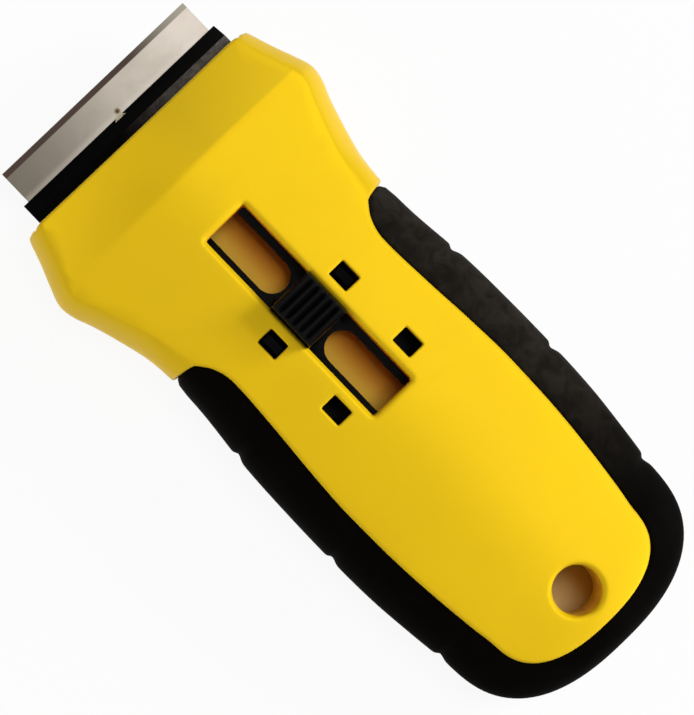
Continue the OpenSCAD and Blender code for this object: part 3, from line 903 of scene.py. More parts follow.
@dataclass
class Handle:
    """The moulded handle: two plastic shells with rubber round their flanks."""

    form: HandleForm = field(default_factory=HandleForm)
    slot_w: float = 8.4
    slot_l: float = 37.4
    slot_y: float = 11.5
    slot_corner: float = 0.5
    slot_rim: float = 0.9
    notch_w: float = 3.0
    notch_l: float = 3.8
    notch_x: float = 7.6
    notch_corner: float = 0.25
    notch_rim: float = 0.35
    stroke: float = 14.1
    hang_y: float = -48.5
    hang_r: float = 4.0
    hang_rim: float = 0.9
    seam_rim: float = 0.6
    mouth_rim: float = 0.6
    rubber_rim: float = 0.5
    rubber_sink: float = 0.3
    rubber_sink_w: float = 3.5
    nick_ys: tuple[float, ...] = (3.03, -18.75, -41.41)
    nick_depth: float = 0.5
    nick_front: float = 0.55
    nick_rear: float = 1.1
    nick_reach: float = 3.5
    nick_near: float = 2.2
    collar_t: float = 1.2
    collar_z: float = 11.31
    guide_x: Pair = (9.6, 10.8)
    guide_y: Pair = (-28.1, 21.55)
    guide_z: float = 9.0
    room_half: float = 21.1
    room_y: float = 24.6
    room_z: Pair = (4.5, 11.61)
    bed_z: float = 4.0
    bed_half: float = 6.8
    bed_y: Pair = (-28.1, 38.0)
    rail_in: float = 5.2
    rail_z: float = 6.2
    rail_front_y: float = 20.0
    floor_z: float = 2.3
    boss_r: float = 3.4
    boss_places: tuple[Pair, ...] = ((14.9, 18.1), (-14.9, 18.1), (10.7, -35.5), (-10.7, -35.5))
    head_seat_z: float = 3.4
    head_hole_r: float = 2.8
    recess_chamfer: float = 0.25
    shank_hole_r: float = 1.6
    shank_points: int = 32
    tube_r: float = 6.1
    pocket_x: Pair = (6.1, 9.1)
    pocket_half: float = 1.95
    pocket_top_z: float = 14.85
    parting_w: float = 0.12
    parting_depth: float = 0.18
    over: float = 1.0
    hang_points: int = 44
    slot_step: float = 1.1
    notch_step: float = 0.8
    seam_step: float = 0.8
    edge_step: float = 1.0
    nick_step: float = 0.3
    mouth_step: float = 1.1
    crease_step: float = 1.3
    hidden_step: float = 1.4
    core_step: float = 1.6
    hidden_grid: float = 2.5
    hidden_rings: int = 7
    rubber_grid: float = 1.3
    join_gap: float = 0.05

    def seam_line(self) -> Array:
        """The whole seam in plan, from its left end round the tail to its right end."""
        return both_sides(resample(self.form.seam_side(), even(self.seam_step)))

    def head_side(self) -> Array:
        """Right-hand outline of the head, from the seam's end to the mouth."""
        end, side = self.form.seam_side()[-1], self.form.side()
        return resample(np.vstack([end, side[side[:, 1] > end[1] + self.join_gap]]), even(self.edge_step))

    def whole_side(self) -> Array:
        """Right-hand outline from the tail to the mouth, with the same points on the head as head_side.

        Returns:
            Its points.
        """
        head, side = self.head_side(), self.form.side()
        rear = np.vstack([side[side[:, 1] < head[0, 1] - self.join_gap], head[:1]])
        return np.vstack([resample(rear, even(self.edge_step)), head[1:]])

    def mouth_line(self) -> Array:
        """Edge of the mouth in plan, from right to left."""
        corner = self.head_side()[-1]
        return resample(np.array([corner, corner * MIRROR]), even(self.mouth_step))

    def _nick_spacing(self, points: Array) -> Array:
        """Spacing of the rubber's outline at its points, closer beside the nicks."""
        near = np.min([np.abs(points[:, 1] - y) for y in self.nick_ys], axis=0)
        return np.where(near < self.nick_near, self.nick_step, self.edge_step)

    def grip_side(self) -> Array:
        """Right-hand outline of the rubber, from the tail to the seam's end."""
        end, side = self.form.seam_side()[-1], self.form.side()
        return resample(np.vstack([side[side[:, 1] < end[1] - self.join_gap], end]), self._nick_spacing)

    def holes(self, half: Half) -> list[Array]:
        """Outlines in plan of the openings of one shell.

        Args:
            half: Which shell.

        Returns:
            The hanging hole, and on the upper shell the slot and the latch windows.
        """
        found = [ring(0, self.hang_y, self.hang_r, self.hang_points)]
        if half is Half.UPPER:
            found.append(rounded_box(0, self.slot_y, self.slot_w, self.slot_l, self.slot_corner,
                                     self.slot_step))
            found += [rounded_box(side * self.notch_x, self.slot_y - stop * self.stroke, self.notch_w,
                                  self.notch_l, self.notch_corner, self.notch_step)
                      for side in SIDES for stop in (0, 1)]
        return found

    def _rims(self, half: Half) -> list[Rim]:
        """Edges of the plastic that are rounded.

        Args:
            half: Which shell.

        Returns:
            The edges.
        """
        rims = [Rim(self.seam_line(), self.seam_rim), Rim(self.mouth_line(), self.mouth_rim)]
        sizes = [self.hang_rim, self.slot_rim] + 4 * [self.notch_rim]
        return rims + [Rim(hole, r, True) for hole, r in zip(self.holes(half), sizes)]

    def panel(self, half: Half) -> Piece:
        """Closed body under the visible plastic surface of one shell.

        Args:
            half: Which shell.

        Returns:
            The body, down or up to the plane where the shells meet.
        """
        form, rims = self.form, self._rims(half)
        past, crease_rows = 3, range(-2, 3)
        seam, head, mouth = self.seam_line(), self.head_side(), self.mouth_line()
        xs = np.arange(-form.mouth_half - past, form.mouth_half + past, self.crease_step)
        creases = [np.stack([xs, np.full(len(xs), form.ramp_y + k * form.ramp_rim)], 1) for k in crease_rows]
        sheet = Sheet(
            loops=[np.vstack([seam, head[1:], mouth[1:-1], (head[1:] * MIRROR)[::-1]]), *self.holes(half)],
            height=form.surface(half),
            plane_z=form.split_z,
            rims=rims,
            rows=creases if half is Half.UPPER else [],
            rings=form.rings(half, self.whole_side()),
            depth=lambda p: rims_depth(p, rims),
        )
        return new_piece("panel", *sheet.mesh())

    def _hidden(self, name: str, half: Half, outer: Array, side: Array, inset: float,
                plane_z: float) -> Piece:
        """A coarse body inside the handle.

        Args:
            name: Name of the body.
            half: Which half.
            outer: Its outline.
            side: Right-hand outline that its rows of points follow.
            inset: How far it lies inside the outer surface.
            plane_z: Height of its flat face.

        Returns:
            The body.
        """
        height = self.form.surface(half)
        sheet = Sheet(
            loops=[outer],
            height=lambda p: height(p, inset),
            plane_z=plane_z,
            rings=self.form.rings(half, side, self.hidden_rings, inset),
            grid=self.hidden_grid,
        )
        return new_piece(name, *sheet.mesh())

    def band(self, half: Half) -> Piece:
        """Closed body of the plastic that the rubber covers.

        Args:
            half: Which half.

        Returns:
            The body.
        """
        form = self.form
        past, reach = 1.5, 17.0
        seam = form.seam_side()
        end_y = seam[-1, 1] + past
        side = resample(form.side(form.grip_t, end_y), even(self.hidden_step))
        seam = seam[seam[:, 0] < reach]
        inner = resample(np.vstack([seam, [seam[-1, 0], end_y]]), even(self.hidden_step))
        inner = inner + normals_of(inner, False) * self.over
        inner[0, 0], inner[-1, 1] = 0, end_y
        outer = np.vstack([both_sides(side), inner[::-1], (inner * MIRROR)[1:]])
        return self._hidden("band", half, outer, side, form.grip_t, form.split_z)

    def core(self, half: Half, inset: float) -> Piece:
        """A solid inside the handle, used to hollow it or to cut the rubber's back.

        Args:
            half: Which half.
            inset: How far it lies inside the outer surface.

        Returns:
            The tool, which runs a little past the plane where the shells meet.
        """
        side = resample(self.form.side(inset, self.form.mouth_y + self.over), even(self.core_step))
        plane_z = self.form.split_z - half.value * self.over
        return self._hidden("core", half, mirrored(side), side, inset, plane_z)

    def _posts(self, low: float, high: float) -> list[Piece]:
        """The four bosses and the tube round the hanging hole, as tools between two heights."""
        places = [(self.boss_r, x, y) for x, y in self.boss_places] + [(self.tube_r, 0, self.hang_y)]
        return [turned("post", [(r, low), (r, high)], (x, y, 0)) for r, x, y in places]

    def _room(self, z: Pair) -> Piece:
        """The space in the head that the holder draws back into, as a tool between two heights."""
        x, y = (-self.room_half, self.room_half), (self.room_y, self.form.mouth_y + self.over)
        return block("room", x, y, z)

    def _pockets(self) -> list[Piece]:
        """Blind pockets under the roof for the latch noses, with the slide at its foremost stop.

        Returns:
            Tools for the pockets.
        """
        middle, low = self.slot_y + self.stroke, self.form.split_z + self.over
        y = (middle - self.pocket_half, middle + self.pocket_half)
        return block_pair("pocket", self.pocket_x, y, (low, self.pocket_top_z))

    def parting(self, half: Half) -> Piece:
        """Tool that chamfers one half's outer edge, so that a fine groove runs where the halves meet.

        Args:
            half: Which half.

        Returns:
            The tool.
        """
        past = 0.5
        side = self.whole_side()
        line = both_sides(np.vstack([side, side[-1] + (side[-1] - side[-2])]))
        rise = self.parting_w * (1 + past / self.parting_depth)
        section = [(self.parting_depth, 0.0), (-past, rise), (-past, -past), (self.parting_depth, -past)]
        verts = [(*(p + way * inset), self.form.split_z + half.value * up)
                 for p, way in zip(line, normals_of(line, False)) for inset, up in section]
        faces = ring_faces(len(line), len(section))
        return finished(new_piece("parting", np.array(verts), faces), "parting")

    def _shell(self, half: Half, fittings: Sequence[Piece], openings: Sequence[Piece]) -> Piece:
        """One shell of the handle.

        Args:
            half: Which shell.
            fittings: What stands in its hollow.
            openings: What is cut out of it besides the hollow.

        Returns:
            The shell.
        """
        hollow = apply_tools(self.core(half, self.form.wall), fittings, Cut.REMOVE)
        body = apply_tools(self.panel(half), [self.band(half)], Cut.ADD)
        body = apply_tools(body, [hollow, *openings], Cut.REMOVE)
        return finished(body, f"{half.name.title()}Housing")

    def upper_shell(self) -> Piece:
        """The upper shell with slot, latch windows, collar, guides and bosses.

        Returns:
            The shell.
        """
        low, high = self.form.split_z - 2 * self.over, self.form.body_h + self.over
        half_w, half_l = self.slot_w / 2 + self.collar_t, self.slot_l / 2 + self.collar_t
        collar_y = (self.slot_y - half_l, self.slot_y + half_l)
        fittings = [
            *self._posts(low, high),
            block("collar", (-half_w, half_w), collar_y, (self.collar_z, high)),
            *block_pair("guide", self.guide_x, self.guide_y, (self.guide_z, high)),
        ]
        openings = [self._room((low, self.room_z[1])), *self._pockets(), self.parting(Half.UPPER)]
        return self._shell(Half.UPPER, fittings, openings)

    def lower_shell(self) -> Piece:
        """The lower shell with floor, bed, rails, bosses and recesses for the screws.

        Returns:
            The shell.
        """
        low, high = self.floor_z - self.over, self.form.split_z + 2 * self.over
        rail_y = (self.bed_y[0], self.rail_front_y)
        fittings = [
            *self._posts(low, high),
            block("bed", (-self.bed_half, self.bed_half), self.bed_y, (low, self.bed_z)),
            *block_pair("rail", (self.rail_in, self.bed_half), rail_y, (low, self.rail_z)),
        ]
        r, chamfer = self.head_hole_r, self.recess_chamfer
        recess = [(r + chamfer, -self.over), (r + chamfer, 0.0), (r, chamfer), (r, self.head_seat_z)]
        shank = [(self.shank_hole_r, 0.0), (self.shank_hole_r, high)]
        openings = [self._room((self.room_z[0], high)), self.parting(Half.LOWER)]
        for x, y in self.boss_places:
            openings += [turned("recess", recess, (x, y, 0)),
                         turned("shank", shank, (x, y, 0), count=self.shank_points)]
        return self._shell(Half.LOWER, fittings, openings)

    def grip(self, half: Half) -> Piece:
        """The rubber on one shell, with shallow nicks down its flanks.

        Args:
            half: Which shell.

        Returns:
            The rubber.
        """
        form, side, seam = self.form, self.grip_side(), self.seam_line()
        sheet = Sheet(
            loops=[np.vstack([both_sides(side), seam[::-1][1:-1]])],
            height=form.surface(half),
            plane_z=form.split_z,
            rims=[Rim(seam[::-1], self.rubber_rim)],
            rings=form.rings(half, side),
            depth=lambda p: self._rubber_depth(p, distance_to(p, seam)),
            grid=self.rubber_grid,
        )
        body = new_piece("grip", *sheet.mesh())
        body = apply_tools(body, [self.core(half, form.grip_t), self.parting(half)], Cut.REMOVE)
        return finished(body, f"{half.name.title()}Grip")

    def _rubber_depth(self, points: Array, to_seam: Array) -> Array:
        """Depth of the rubber's surface below the handle's form."""
        sink = self.rubber_sink * smooth_step(self.rubber_sink_w, 0, to_seam)
        return sink + rim_drop(to_seam, self.rubber_rim) + self._nicks(points)

    def _nicks(self, points: Array) -> Array:
        """Depth of the nicks, steep towards the blade and fading up the flank.

        Args:
            points: Plan points.

        Returns:
            The depth at each.
        """
        total = np.zeros(len(points))
        fade = np.exp(-self.form.edge_distance(points) / self.nick_reach)
        for place in self.nick_ys:
            v = points[:, 1] - place
            width = np.where(v > 0, self.nick_front, self.nick_rear)
            total += self.nick_depth * np.exp(-((v / width) ** 2)) * fade
        return total

    def build(self) -> list[Piece]:
        """Builds the four pieces of the handle and ties them to the frame.

        Returns:
            The pieces.
        """
        parts = (("upper_shell", "yellow_plastic", self.upper_shell()),
                 ("lower_shell", "yellow_plastic", self.lower_shell()),
                 ("upper_grip", "grip_rubber", self.grip(Half.UPPER)),
                 ("lower_grip", "grip_rubber", self.grip(Half.LOWER)))
        return [dressed(piece, "handle", node, slot) for node, slot, piece in parts]


def finished(body: Piece, name: str) -> Piece:
    """Names a body, welds it and sets its shading."""
    body.name = body.data.name = name
    return tidy_mesh(body)


def softened(node: str, name: str, width: float, segments: int = 2) -> Piece:
    """A copy of a frame's node with its edges rounded.

    Args:
        node: The node.
        name: Name of the piece.
        width: Width of the rounding in millimetres; none leaves the edges sharp and the faces flat.
        segments: Number of faces across it.

    Returns:
        The piece.
    """
    weld, flat_deg, edge_deg = MM / 1000, 0.4, 32.0
    bm = bmesh.new()
    bm.from_mesh(frame["nodes"][node].data)
    bmesh.ops.remove_doubles(bm, verts=bm.verts, dist=weld)
    bmesh.ops.dissolve_limit(bm, angle_limit=math.radians(flat_deg), verts=bm.verts, edges=bm.edges)
    mesh = bpy.data.meshes.new(name)
    bm.to_mesh(mesh)
    bm.free()
    piece = placed(name, mesh)
    if not width:
        mesh.shade_flat()
        return piece
    mesh.shade_smooth()
    bevel = piece.modifiers.new("edges", "BEVEL")
    bevel.width = width * MM
    bevel.segments = segments
    bevel.limit_method = "ANGLE"
    bevel.angle_limit = math.radians(edge_deg)
    bevel.harden_normals = True
    bevel.miter_outer = "MITER_ARC"
    return settled(piece)


def tube(name: str, path: Array, radius: float, sides: int = 12) -> Piece:
    """A round wire along a path, with rounded ends.

    Args:
        name: Name of the piece.
        path: Points in millimetres.
        radius: Radius of the wire.
        sides: Points round it.

    Returns:
        The wire.
    """
    end_shares, start_up = np.array((0.35, 0.8)), (0.0, 0.3, 1.0)
    along = unit(np.gradient(path, axis=0))
    side = np.cross(along, start_up)
    for k in range(1, len(side)):
        side[k] = side[k - 1] - along[k] * (side[k - 1] @ along[k])
        side[k] /= np.linalg.norm(side[k])
    side[0] /= np.linalg.norm(side[0])
    up = np.cross(along, side)
    radii = np.full(len(path), radius)
    radii[[0, 1]] = radii[[-1, -2]] = radius * end_shares
    angles = np.arange(sides) / sides * 2 * math.pi
    verts = [path[k] + radii[k] * (side[k] * math.cos(a) + up[k] * math.sin(a))
             for k in range(len(path)) for a in angles]
    return finished(new_piece(name, np.array(verts), ring_faces(len(path), sides)), name)


def dressed(piece: Piece, body: str, node: str, slot: str) -> Piece:
    """Ties a piece to its body and to the node and slot that it stands for.

    Args:
        piece: The piece.
        body: Body that it rides on.
        node: Node that it replaces.
        slot: Material slot of the record.

    Returns:
        The same piece.
    """
    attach(piece, body)
    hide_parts(node)
    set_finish(piece, slot)
    return piece


def copied(node: str, name: str, slot: str, edge: float, body: str = "slide", segments: int = 2) -> Piece:
    """A copy of a frame's node with its edges rounded, tied to its body, node and slot."""
    return dressed(softened(node, name, edge, segments), body, node, slot)


def bending(piece: Piece, node: str, slot: str) -> Piece:
    """Bakes a spring's place into its mesh and ties it to the node and slot that it stands for.

    Args:
        piece: The piece.
        node: Node that it replaces.
        slot: Material slot of the record.

    Returns:
        The same piece.
    """
    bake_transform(piece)
    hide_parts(node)
    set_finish(piece, slot)
    return piece


@dataclass
class ThumbPad:
    """The ridged thumb pad that stands in the slot."""

    width: float = 7.8
    length: float = 8.6
    middle_y: float = 11.5
    top_z: float = 19.2
    foot_z: float = 10.3
    ridges: int = 6
    groove: float = 0.75
    edge: float = 0.7
    end_edge: float = 0.6
    column_power: float = 0.75
    crest_power: float = 0.6
    fade_w: float = 1.3
    side_groove: float = 0.35
    leg_edge: float = 0.05
    lap: float = 0.2
    over: float = 1.0
    per_ridge: int = 12
    across: int = 22

    def build(self) -> Piece:
        """Builds the pad over its node's legs and stem.

        Returns:
            The pad.
        """
        count = self.ridges * self.per_ridge
        ys = np.linspace(-self.length / 2, self.length / 2, count + 1)
        turn = np.linspace(-QUARTER_TURN, QUARTER_TURN, self.across + 1)
        xs = self.width / 2 * np.sign(turn) * np.abs(np.sin(turn)) ** self.column_power
        phase = np.arange(count + 1) / self.per_ridge * 2 * math.pi
        groove = self.groove * (1 - (0.5 - 0.5 * np.cos(phase)) ** self.crest_power)
        from_side = self.width / 2 - np.abs(xs)
        side_drop = rim_drop(from_side, self.edge)
        end_drop = rim_drop(self.length / 2 - np.abs(ys), self.end_edge)
        share = self.side_groove + (1 - self.side_groove) * smooth_step(0, self.fade_w, from_side)
        verts = [(x, self.middle_y + y, self.top_z - side_drop[i] - end_drop[j] - groove[j] * share[i])
                 for j, y in enumerate(ys) for i, x in enumerate(xs)]
        verts += [(p[0], p[1], self.foot_z) for p in verts]
        body = finished(new_piece("ThumbPad", np.array(verts), self._faces(len(ys), len(xs))), "ThumbPad")
        legs = softened("thumb_pad", "legs", self.leg_edge, 1)
        y = (self.middle_y - self.length, self.middle_y + self.length)
        cut = block("cut", (-self.width, self.width), y, (self.foot_z + self.lap, self.top_z + self.over))
        legs = apply_tools(legs, [cut], Cut.REMOVE)
        piece = finished(apply_tools(body, [legs], Cut.ADD), "ThumbPad")
        return dressed(piece, "pad", "thumb_pad", "black_plastic")

    @staticmethod
    def _faces(rows: int, columns: int) -> Faces:
        """Faces of a closed body of two grids, the first above the second.

        Args:
            rows: Rows of points.
            columns: Points in a row.

        Returns:
            The faces: both grids, the sides and the ends.
        """
        under = rows * columns
        faces: Faces = []
        for j in range(rows - 1):
            for i in range(columns - 1):
                a, d = j * columns + i, (j + 1) * columns + i
                faces += [(a, a + 1, d + 1, d), (a + under, d + under, d + 1 + under, a + 1 + under)]
        edges = [(j * columns + i, (j + 1) * columns + i) for j in range(rows - 1) for i in (0, columns - 1)]
        edges += [(j * columns + i, j * columns + i + 1) for i in range(columns - 1) for j in (0, rows - 1)]
        return faces + [(a, b, b + under, a + under) for a, b in edges]


@dataclass
class Carriage:
    """What travels with the blade: slide, holder, blade, hinge and springs."""

    hinge_y: float = 37.6
    hinge_z: float = 9.6
    pin_r: float = 0.7
    pin_half: float = 18.5
    rivet_x: float = 3.6
    rivet_y: float = 35.0
    rivet_r: float = 1.0
    rivet_head_r: float = 1.5
    rivet_head_h: float = 0.6
    base_z: float = 4.9
    slide_top_z: float = 8.8
    stud_y: float = 52.8
    stud_r: float = 1.1
    stud_top_z: float = 8.13
    collar_r: float = 1.57
    collar_z: Pair = (7.22, 7.4)
    wire_r: float = 0.25
    coil_r: float = 1.05
    coil_turns: int = 5
    coil_pitch: float = 0.62
    coil_steps: int = 24
    lead_parts: int = 12
    front_leg_l: float = 5.8
    rear_leg_l: float = 2.4
    jaw_top_z: float = 10.51
    leg_bend: float = 0.8
    leg_shares: tuple[float, ...] = (0, 0.02, 0.05, 0.35, 0.7)
    chamfer: float = 0.12
    dome_rise: float = 0.75
    dome_end: float = 0.12
    dome_rows: int = 8
    pin_points: int = 32
    stud_points: int = 64
    slide_edge: float = 0.18
    base_edge: float = 0.2
    spine_edge: float = 0.08
    jaw_edge: float = 0.25

    def _coil_path(self) -> Array:
        """Route of the spring's wire: rear leg, coil, front leg.

        Returns:
            Its points.
        """
        half = self.coil_turns * self.coil_pitch / 2
        start, end = -self.coil_steps // self.lead_parts, self.coil_turns * self.coil_steps
        turns = np.arange(start, end + 1) / self.coil_steps
        angle = turns * 2 * math.pi
        coil = np.stack([-half + self.coil_pitch * turns, self.hinge_y + self.coil_r * np.sin(angle),
                         self.hinge_z + self.coil_r * np.cos(angle)], 1)
        rear = np.array([-half, self.hinge_y - self.rear_leg_l, self.slide_top_z + self.wire_r])
        front = np.array([half, self.hinge_y + self.front_leg_l, self.jaw_top_z - self.wire_r])
        shares = np.array(self.leg_shares)[:, None]
        to_rear, to_front = rear + (coil[0] - rear) * shares, front + (coil[-1] - front) * shares
        return np.vstack([to_rear, coil, to_front[::-1]])

    def build(self) -> list[Piece]:
        """Builds the pieces and ties them to the slide and the jaw.

        Returns:
            The pieces.
        """
        r, half, chamfer = self.pin_r, self.pin_half, self.chamfer
        profile = [(r - chamfer, -half), (r, chamfer - half), (r, half - chamfer), (r - chamfer, half)]
        pin = turned("HingePin", profile, (0, self.hinge_y, self.hinge_z), "X", self.pin_points)
        low, high = self.base_z + self.rivet_head_h, self.slide_top_z
        r, rise = self.rivet_head_r, self.dome_rise
        profile = [(r, self.base_z), (r, low), (self.rivet_r, low), (self.rivet_r, high), (r, high)]
        profile += [(r * math.sin(a), high + self.rivet_head_h * (1 - rise + rise * math.cos(a)))
                    for a in np.linspace(QUARTER_TURN, self.dome_end, self.dome_rows)]
        places = [(side * self.rivet_x, self.rivet_y, 0) for side in SIDES]
        rivets = joined("HolderRivets", [turned("rivet", profile, place, count=self.pin_points)
                                         for place in places])
        low, high = self.collar_z
        r, chamfer = self.stud_r, 2 * self.chamfer
        profile = [(r, self.base_z), (r, low), (self.collar_r, low), (self.collar_r, high), (r, high),
                   (r, self.stud_top_z - chamfer), (r - chamfer, self.stud_top_z)]
        stud = turned("LocatingStud", profile, (0, self.stud_y, 0), count=self.stud_points)
        spring = tube("JawSpring", self._coil_path(), self.wire_r)
        return [
            copied("blade_slide", "BladeSlide", "black_plastic", self.slide_edge),
            copied("holder_base", "HolderBase", "black_steel", self.base_edge),
            dressed(finished(rivets, "HolderRivets"), "slide", "holder_rivets", "pin_steel"),
            dressed(finished(stud, "LocatingStud"), "slide", "locating_stud", "pin_steel"),
            copied("razor_blade", "RazorBlade", "blade_steel", 0.0),
            copied("blade_spine", "BladeSpine", "spine_steel", self.spine_edge),
            dressed(finished(pin, "HingePin"), "slide", "hinge_pin", "pin_steel"),
            bending(spring, "jaw_spring", "spring_steel"),
            copied("clamp_jaw", "ClampJaw", "black_steel", self.jaw_edge, "jaw", 3),
        ]


@dataclass
class Latch:
    """The bent strip across the slide, whose middle sinks under the pad and draws its noses down."""

    middle_y: float = 11.5
    width: float = 3.3
    foot_x: float = 5.85
    pressed_x: float = 2.5
    strip_z: Pair = (7.4, 7.9)
    nose_z: Pair = (8.0, 13.0)
    edge: float = 0.1
    steps: int = 16
    cut_z: Pair = (0.0, 20.0)

    def _half(self, name: str, side: int) -> Piece:
        """One half of the strip's middle, from the middle line out to its foot.

        Args:
            name: Name of the piece.
            side: Left is -1, right is 1.

        Returns:
            The piece.
        """
        low, high = self.strip_z
        half, e = self.width / 2, self.edge
        ring_yz = [(-half + e, low), (half - e, low), (half, low + e), (half, high - e),
                   (half - e, high), (-half + e, high), (-half, high - e), (-half, low + e)]
        xs = np.linspace(0, self.foot_x, self.steps + 1)
        verts = [(side * x, self.middle_y + y, z) for x in xs for y, z in ring_yz]
        faces = ring_faces(len(xs), len(ring_yz))
        return finished(new_piece(name, np.array(verts), faces), name)

    def build(self) -> list[Piece]:
        """Builds the noses and the two halves of the strip between them.

        Returns:
            The pieces.
        """
        noses = softened("latch_spring", "LatchNoses", self.edge)
        y = (self.middle_y - self.width, self.middle_y + self.width)
        middle = block("middle", (-self.foot_x, self.foot_x), y, self.cut_z)
        noses = apply_tools(noses, [middle], Cut.REMOVE)
        made = [bending(finished(noses, "LatchNoses"),
                        "latch_spring", "spring_steel")]
        for side, name in ((-1, "LatchStripLeft"), (1, "LatchStripRight")):
            made.append(bending(self._half(name, side), "latch_spring", "spring_steel"))
        return made


def screws() -> Piece:
    """The four screws of the handle, with softened edges."""
    edge = 0.12
    return copied("shell_screws", "HandleScrews", "screw_steel", edge, "handle")


class Graph:
    """Short calls to place and link nodes in a node tree."""

    def __init__(self, tree: Tree) -> None:
        """Keeps the tree."""
        self.tree = tree

    def node(self, kind: str, **settings: object) -> Node:
        """Adds a node.

        Args:
            kind: Its type, without the ShaderNode in front.
            **settings: Properties to set.

        Returns:
            The node.
        """
        made = self.tree.nodes.new(kind if kind.startswith("NodeGroup") else "ShaderNode" + kind)
        for name, value in settings.items():
            setattr(made, name, value)
        return made

    def put(self, socket: Socket, value: object) -> None:
        """Links an input to a socket, or sets it to a value.

        Args:
            socket: The input.
            value: A socket, a number, or a colour without its alpha.
        """
        if isinstance(value, Socket):
            self.tree.links.new(value, socket)
        else:
            socket.default_value = (*value, 1.0) if socket.type == "RGBA" else value

    def feed(self, node: Node, **inputs: object) -> Node:
        """Sets or links inputs by name, with underscores for spaces.

        Args:
            node: The node.
            **inputs: A value, or a socket to link from.

        Returns:
            The node.
        """
        for name, value in inputs.items():
            self.put(node.inputs[name.replace("_", " ")], value)
        return node

    def math(self, operation: str, a: object, b: object = 0.0) -> Socket:
        """Adds a math node.

        Args:
            operation: What it does.
            a: First value or socket.
            b: Second value or socket.

        Returns:
            Its output.
        """
        made = self.node("Math", operation=operation)
        for socket, value in zip(made.inputs, (a, b)):
            self.put(socket, value)
        return made.outputs[0]

    def times(self, first: object, *others: object) -> Socket:
        """Multiplies values or sockets in turn.

        Args:
            first: The first.
            *others: The others.

        Returns:
            The product.
        """
        for other in others:
            first = self.math("MULTIPLY", first, other)
        return first

    def ramp(self, source: Socket, low: float, high: float, start: float = 0.0, end: float = 1.0) -> Socket:
        """Maps a range smoothly to another.

        Args:
            source: Value to map.
            low: Start of its range.
            high: End of its range.
            start: What low becomes.
            end: What high becomes.

        Returns:
            The mapped value.
        """
        made = self.node("MapRange", interpolation_type="SMOOTHSTEP")
        self.feed(made, Value=source, From_Min=low, From_Max=high, To_Min=start, To_Max=end)
        return made.outputs["Result"]

    def mix(self, share: object, a: object, b: object) -> Socket:
        """Mixes two colours.

        Args:
            share: How much of the second.
            a: First colour or socket.
            b: Second colour or socket.

        Returns:
            The mixed colour.
        """
        factor, first, second, colour = 0, 6, 7, 2
        made = self.node("Mix", data_type="RGBA")
        for index, value in ((factor, share), (first, a), (second, b)):
            self.put(made.inputs[index], value)
        return made.outputs[colour]

    def noise(self, place: Socket, **inputs: object) -> Socket:
        """A noise texture's value at a place."""
        return self.feed(self.node("TexNoise"), Vector=place, **inputs).outputs[0]

    def effect(self, group: Tree, **inputs: object) -> Socket:
        """Places a shared group, sets its inputs and gives its only output."""
        return self.feed(self.node("Group", node_tree=group), **inputs).outputs[0]

    def own_place(self) -> Socket:
        """Coordinates on the object, in metres."""
        return self.node("TexCoord").outputs["Object"]

    def axes(self, vector: Socket) -> tuple[Socket, ...]:
        """The three parts of a vector."""
        return tuple(self.feed(self.node("SeparateXYZ"), Vector=vector).outputs)

    def place(self) -> tuple[Socket, ...]:
        """Coordinates on the object, in millimetres."""
        scaled = self.feed(self.node("VectorMath", operation="SCALE"), Vector=self.own_place(), Scale=1 / MM)
        return self.axes(scaled.outputs[0])

    def within(self, value: Socket, middle: float, half: float) -> Socket:
        """One where a value lies within a distance of a middle, else zero."""
        return self.math("LESS_THAN", self.math("ABSOLUTE", self.math("SUBTRACT", value, middle)), half)

    def far(self, x: Socket, y: Socket, spot: Pair) -> Socket:
        """Distance in plan from a spot."""
        dx, dy = self.math("SUBTRACT", x, spot[0]), self.math("SUBTRACT", y, spot[1])
        return self.math("SQRT", self.math("ADD", self.times(dx, dx), self.times(dy, dy)))


def fresh_graph(owner: bpy.types.Material | bpy.types.World) -> Graph:
    """Clears the nodes of a material or a world.

    Args:
        owner: The material or world.

    Returns:
        Its graph.
    """
    owner.use_nodes = True
    owner.node_tree.nodes.clear()
    return Graph(owner.node_tree)


def new_group(name: str, output: str, **inputs: float) -> tuple[Graph, Node, Node]:
    """Starts a shader node group with number sockets.

    Args:
        name: Name of the group.
        output: Name of its output.
        **inputs: Default of each input.

    Returns:
        The group's graph, and its input and output nodes.
    """
    group = bpy.data.node_groups.new(name, "ShaderNodeTree")
    for socket_name, value in inputs.items():
        socket = group.interface.new_socket(socket_name, in_out="INPUT", socket_type="NodeSocketFloat")
        socket.default_value = value
    group.interface.new_socket(output, in_out="OUTPUT", socket_type="NodeSocketFloat")
    graph = Graph(group)
    return graph, graph.node("NodeGroupInput"), graph.node("NodeGroupOutput")


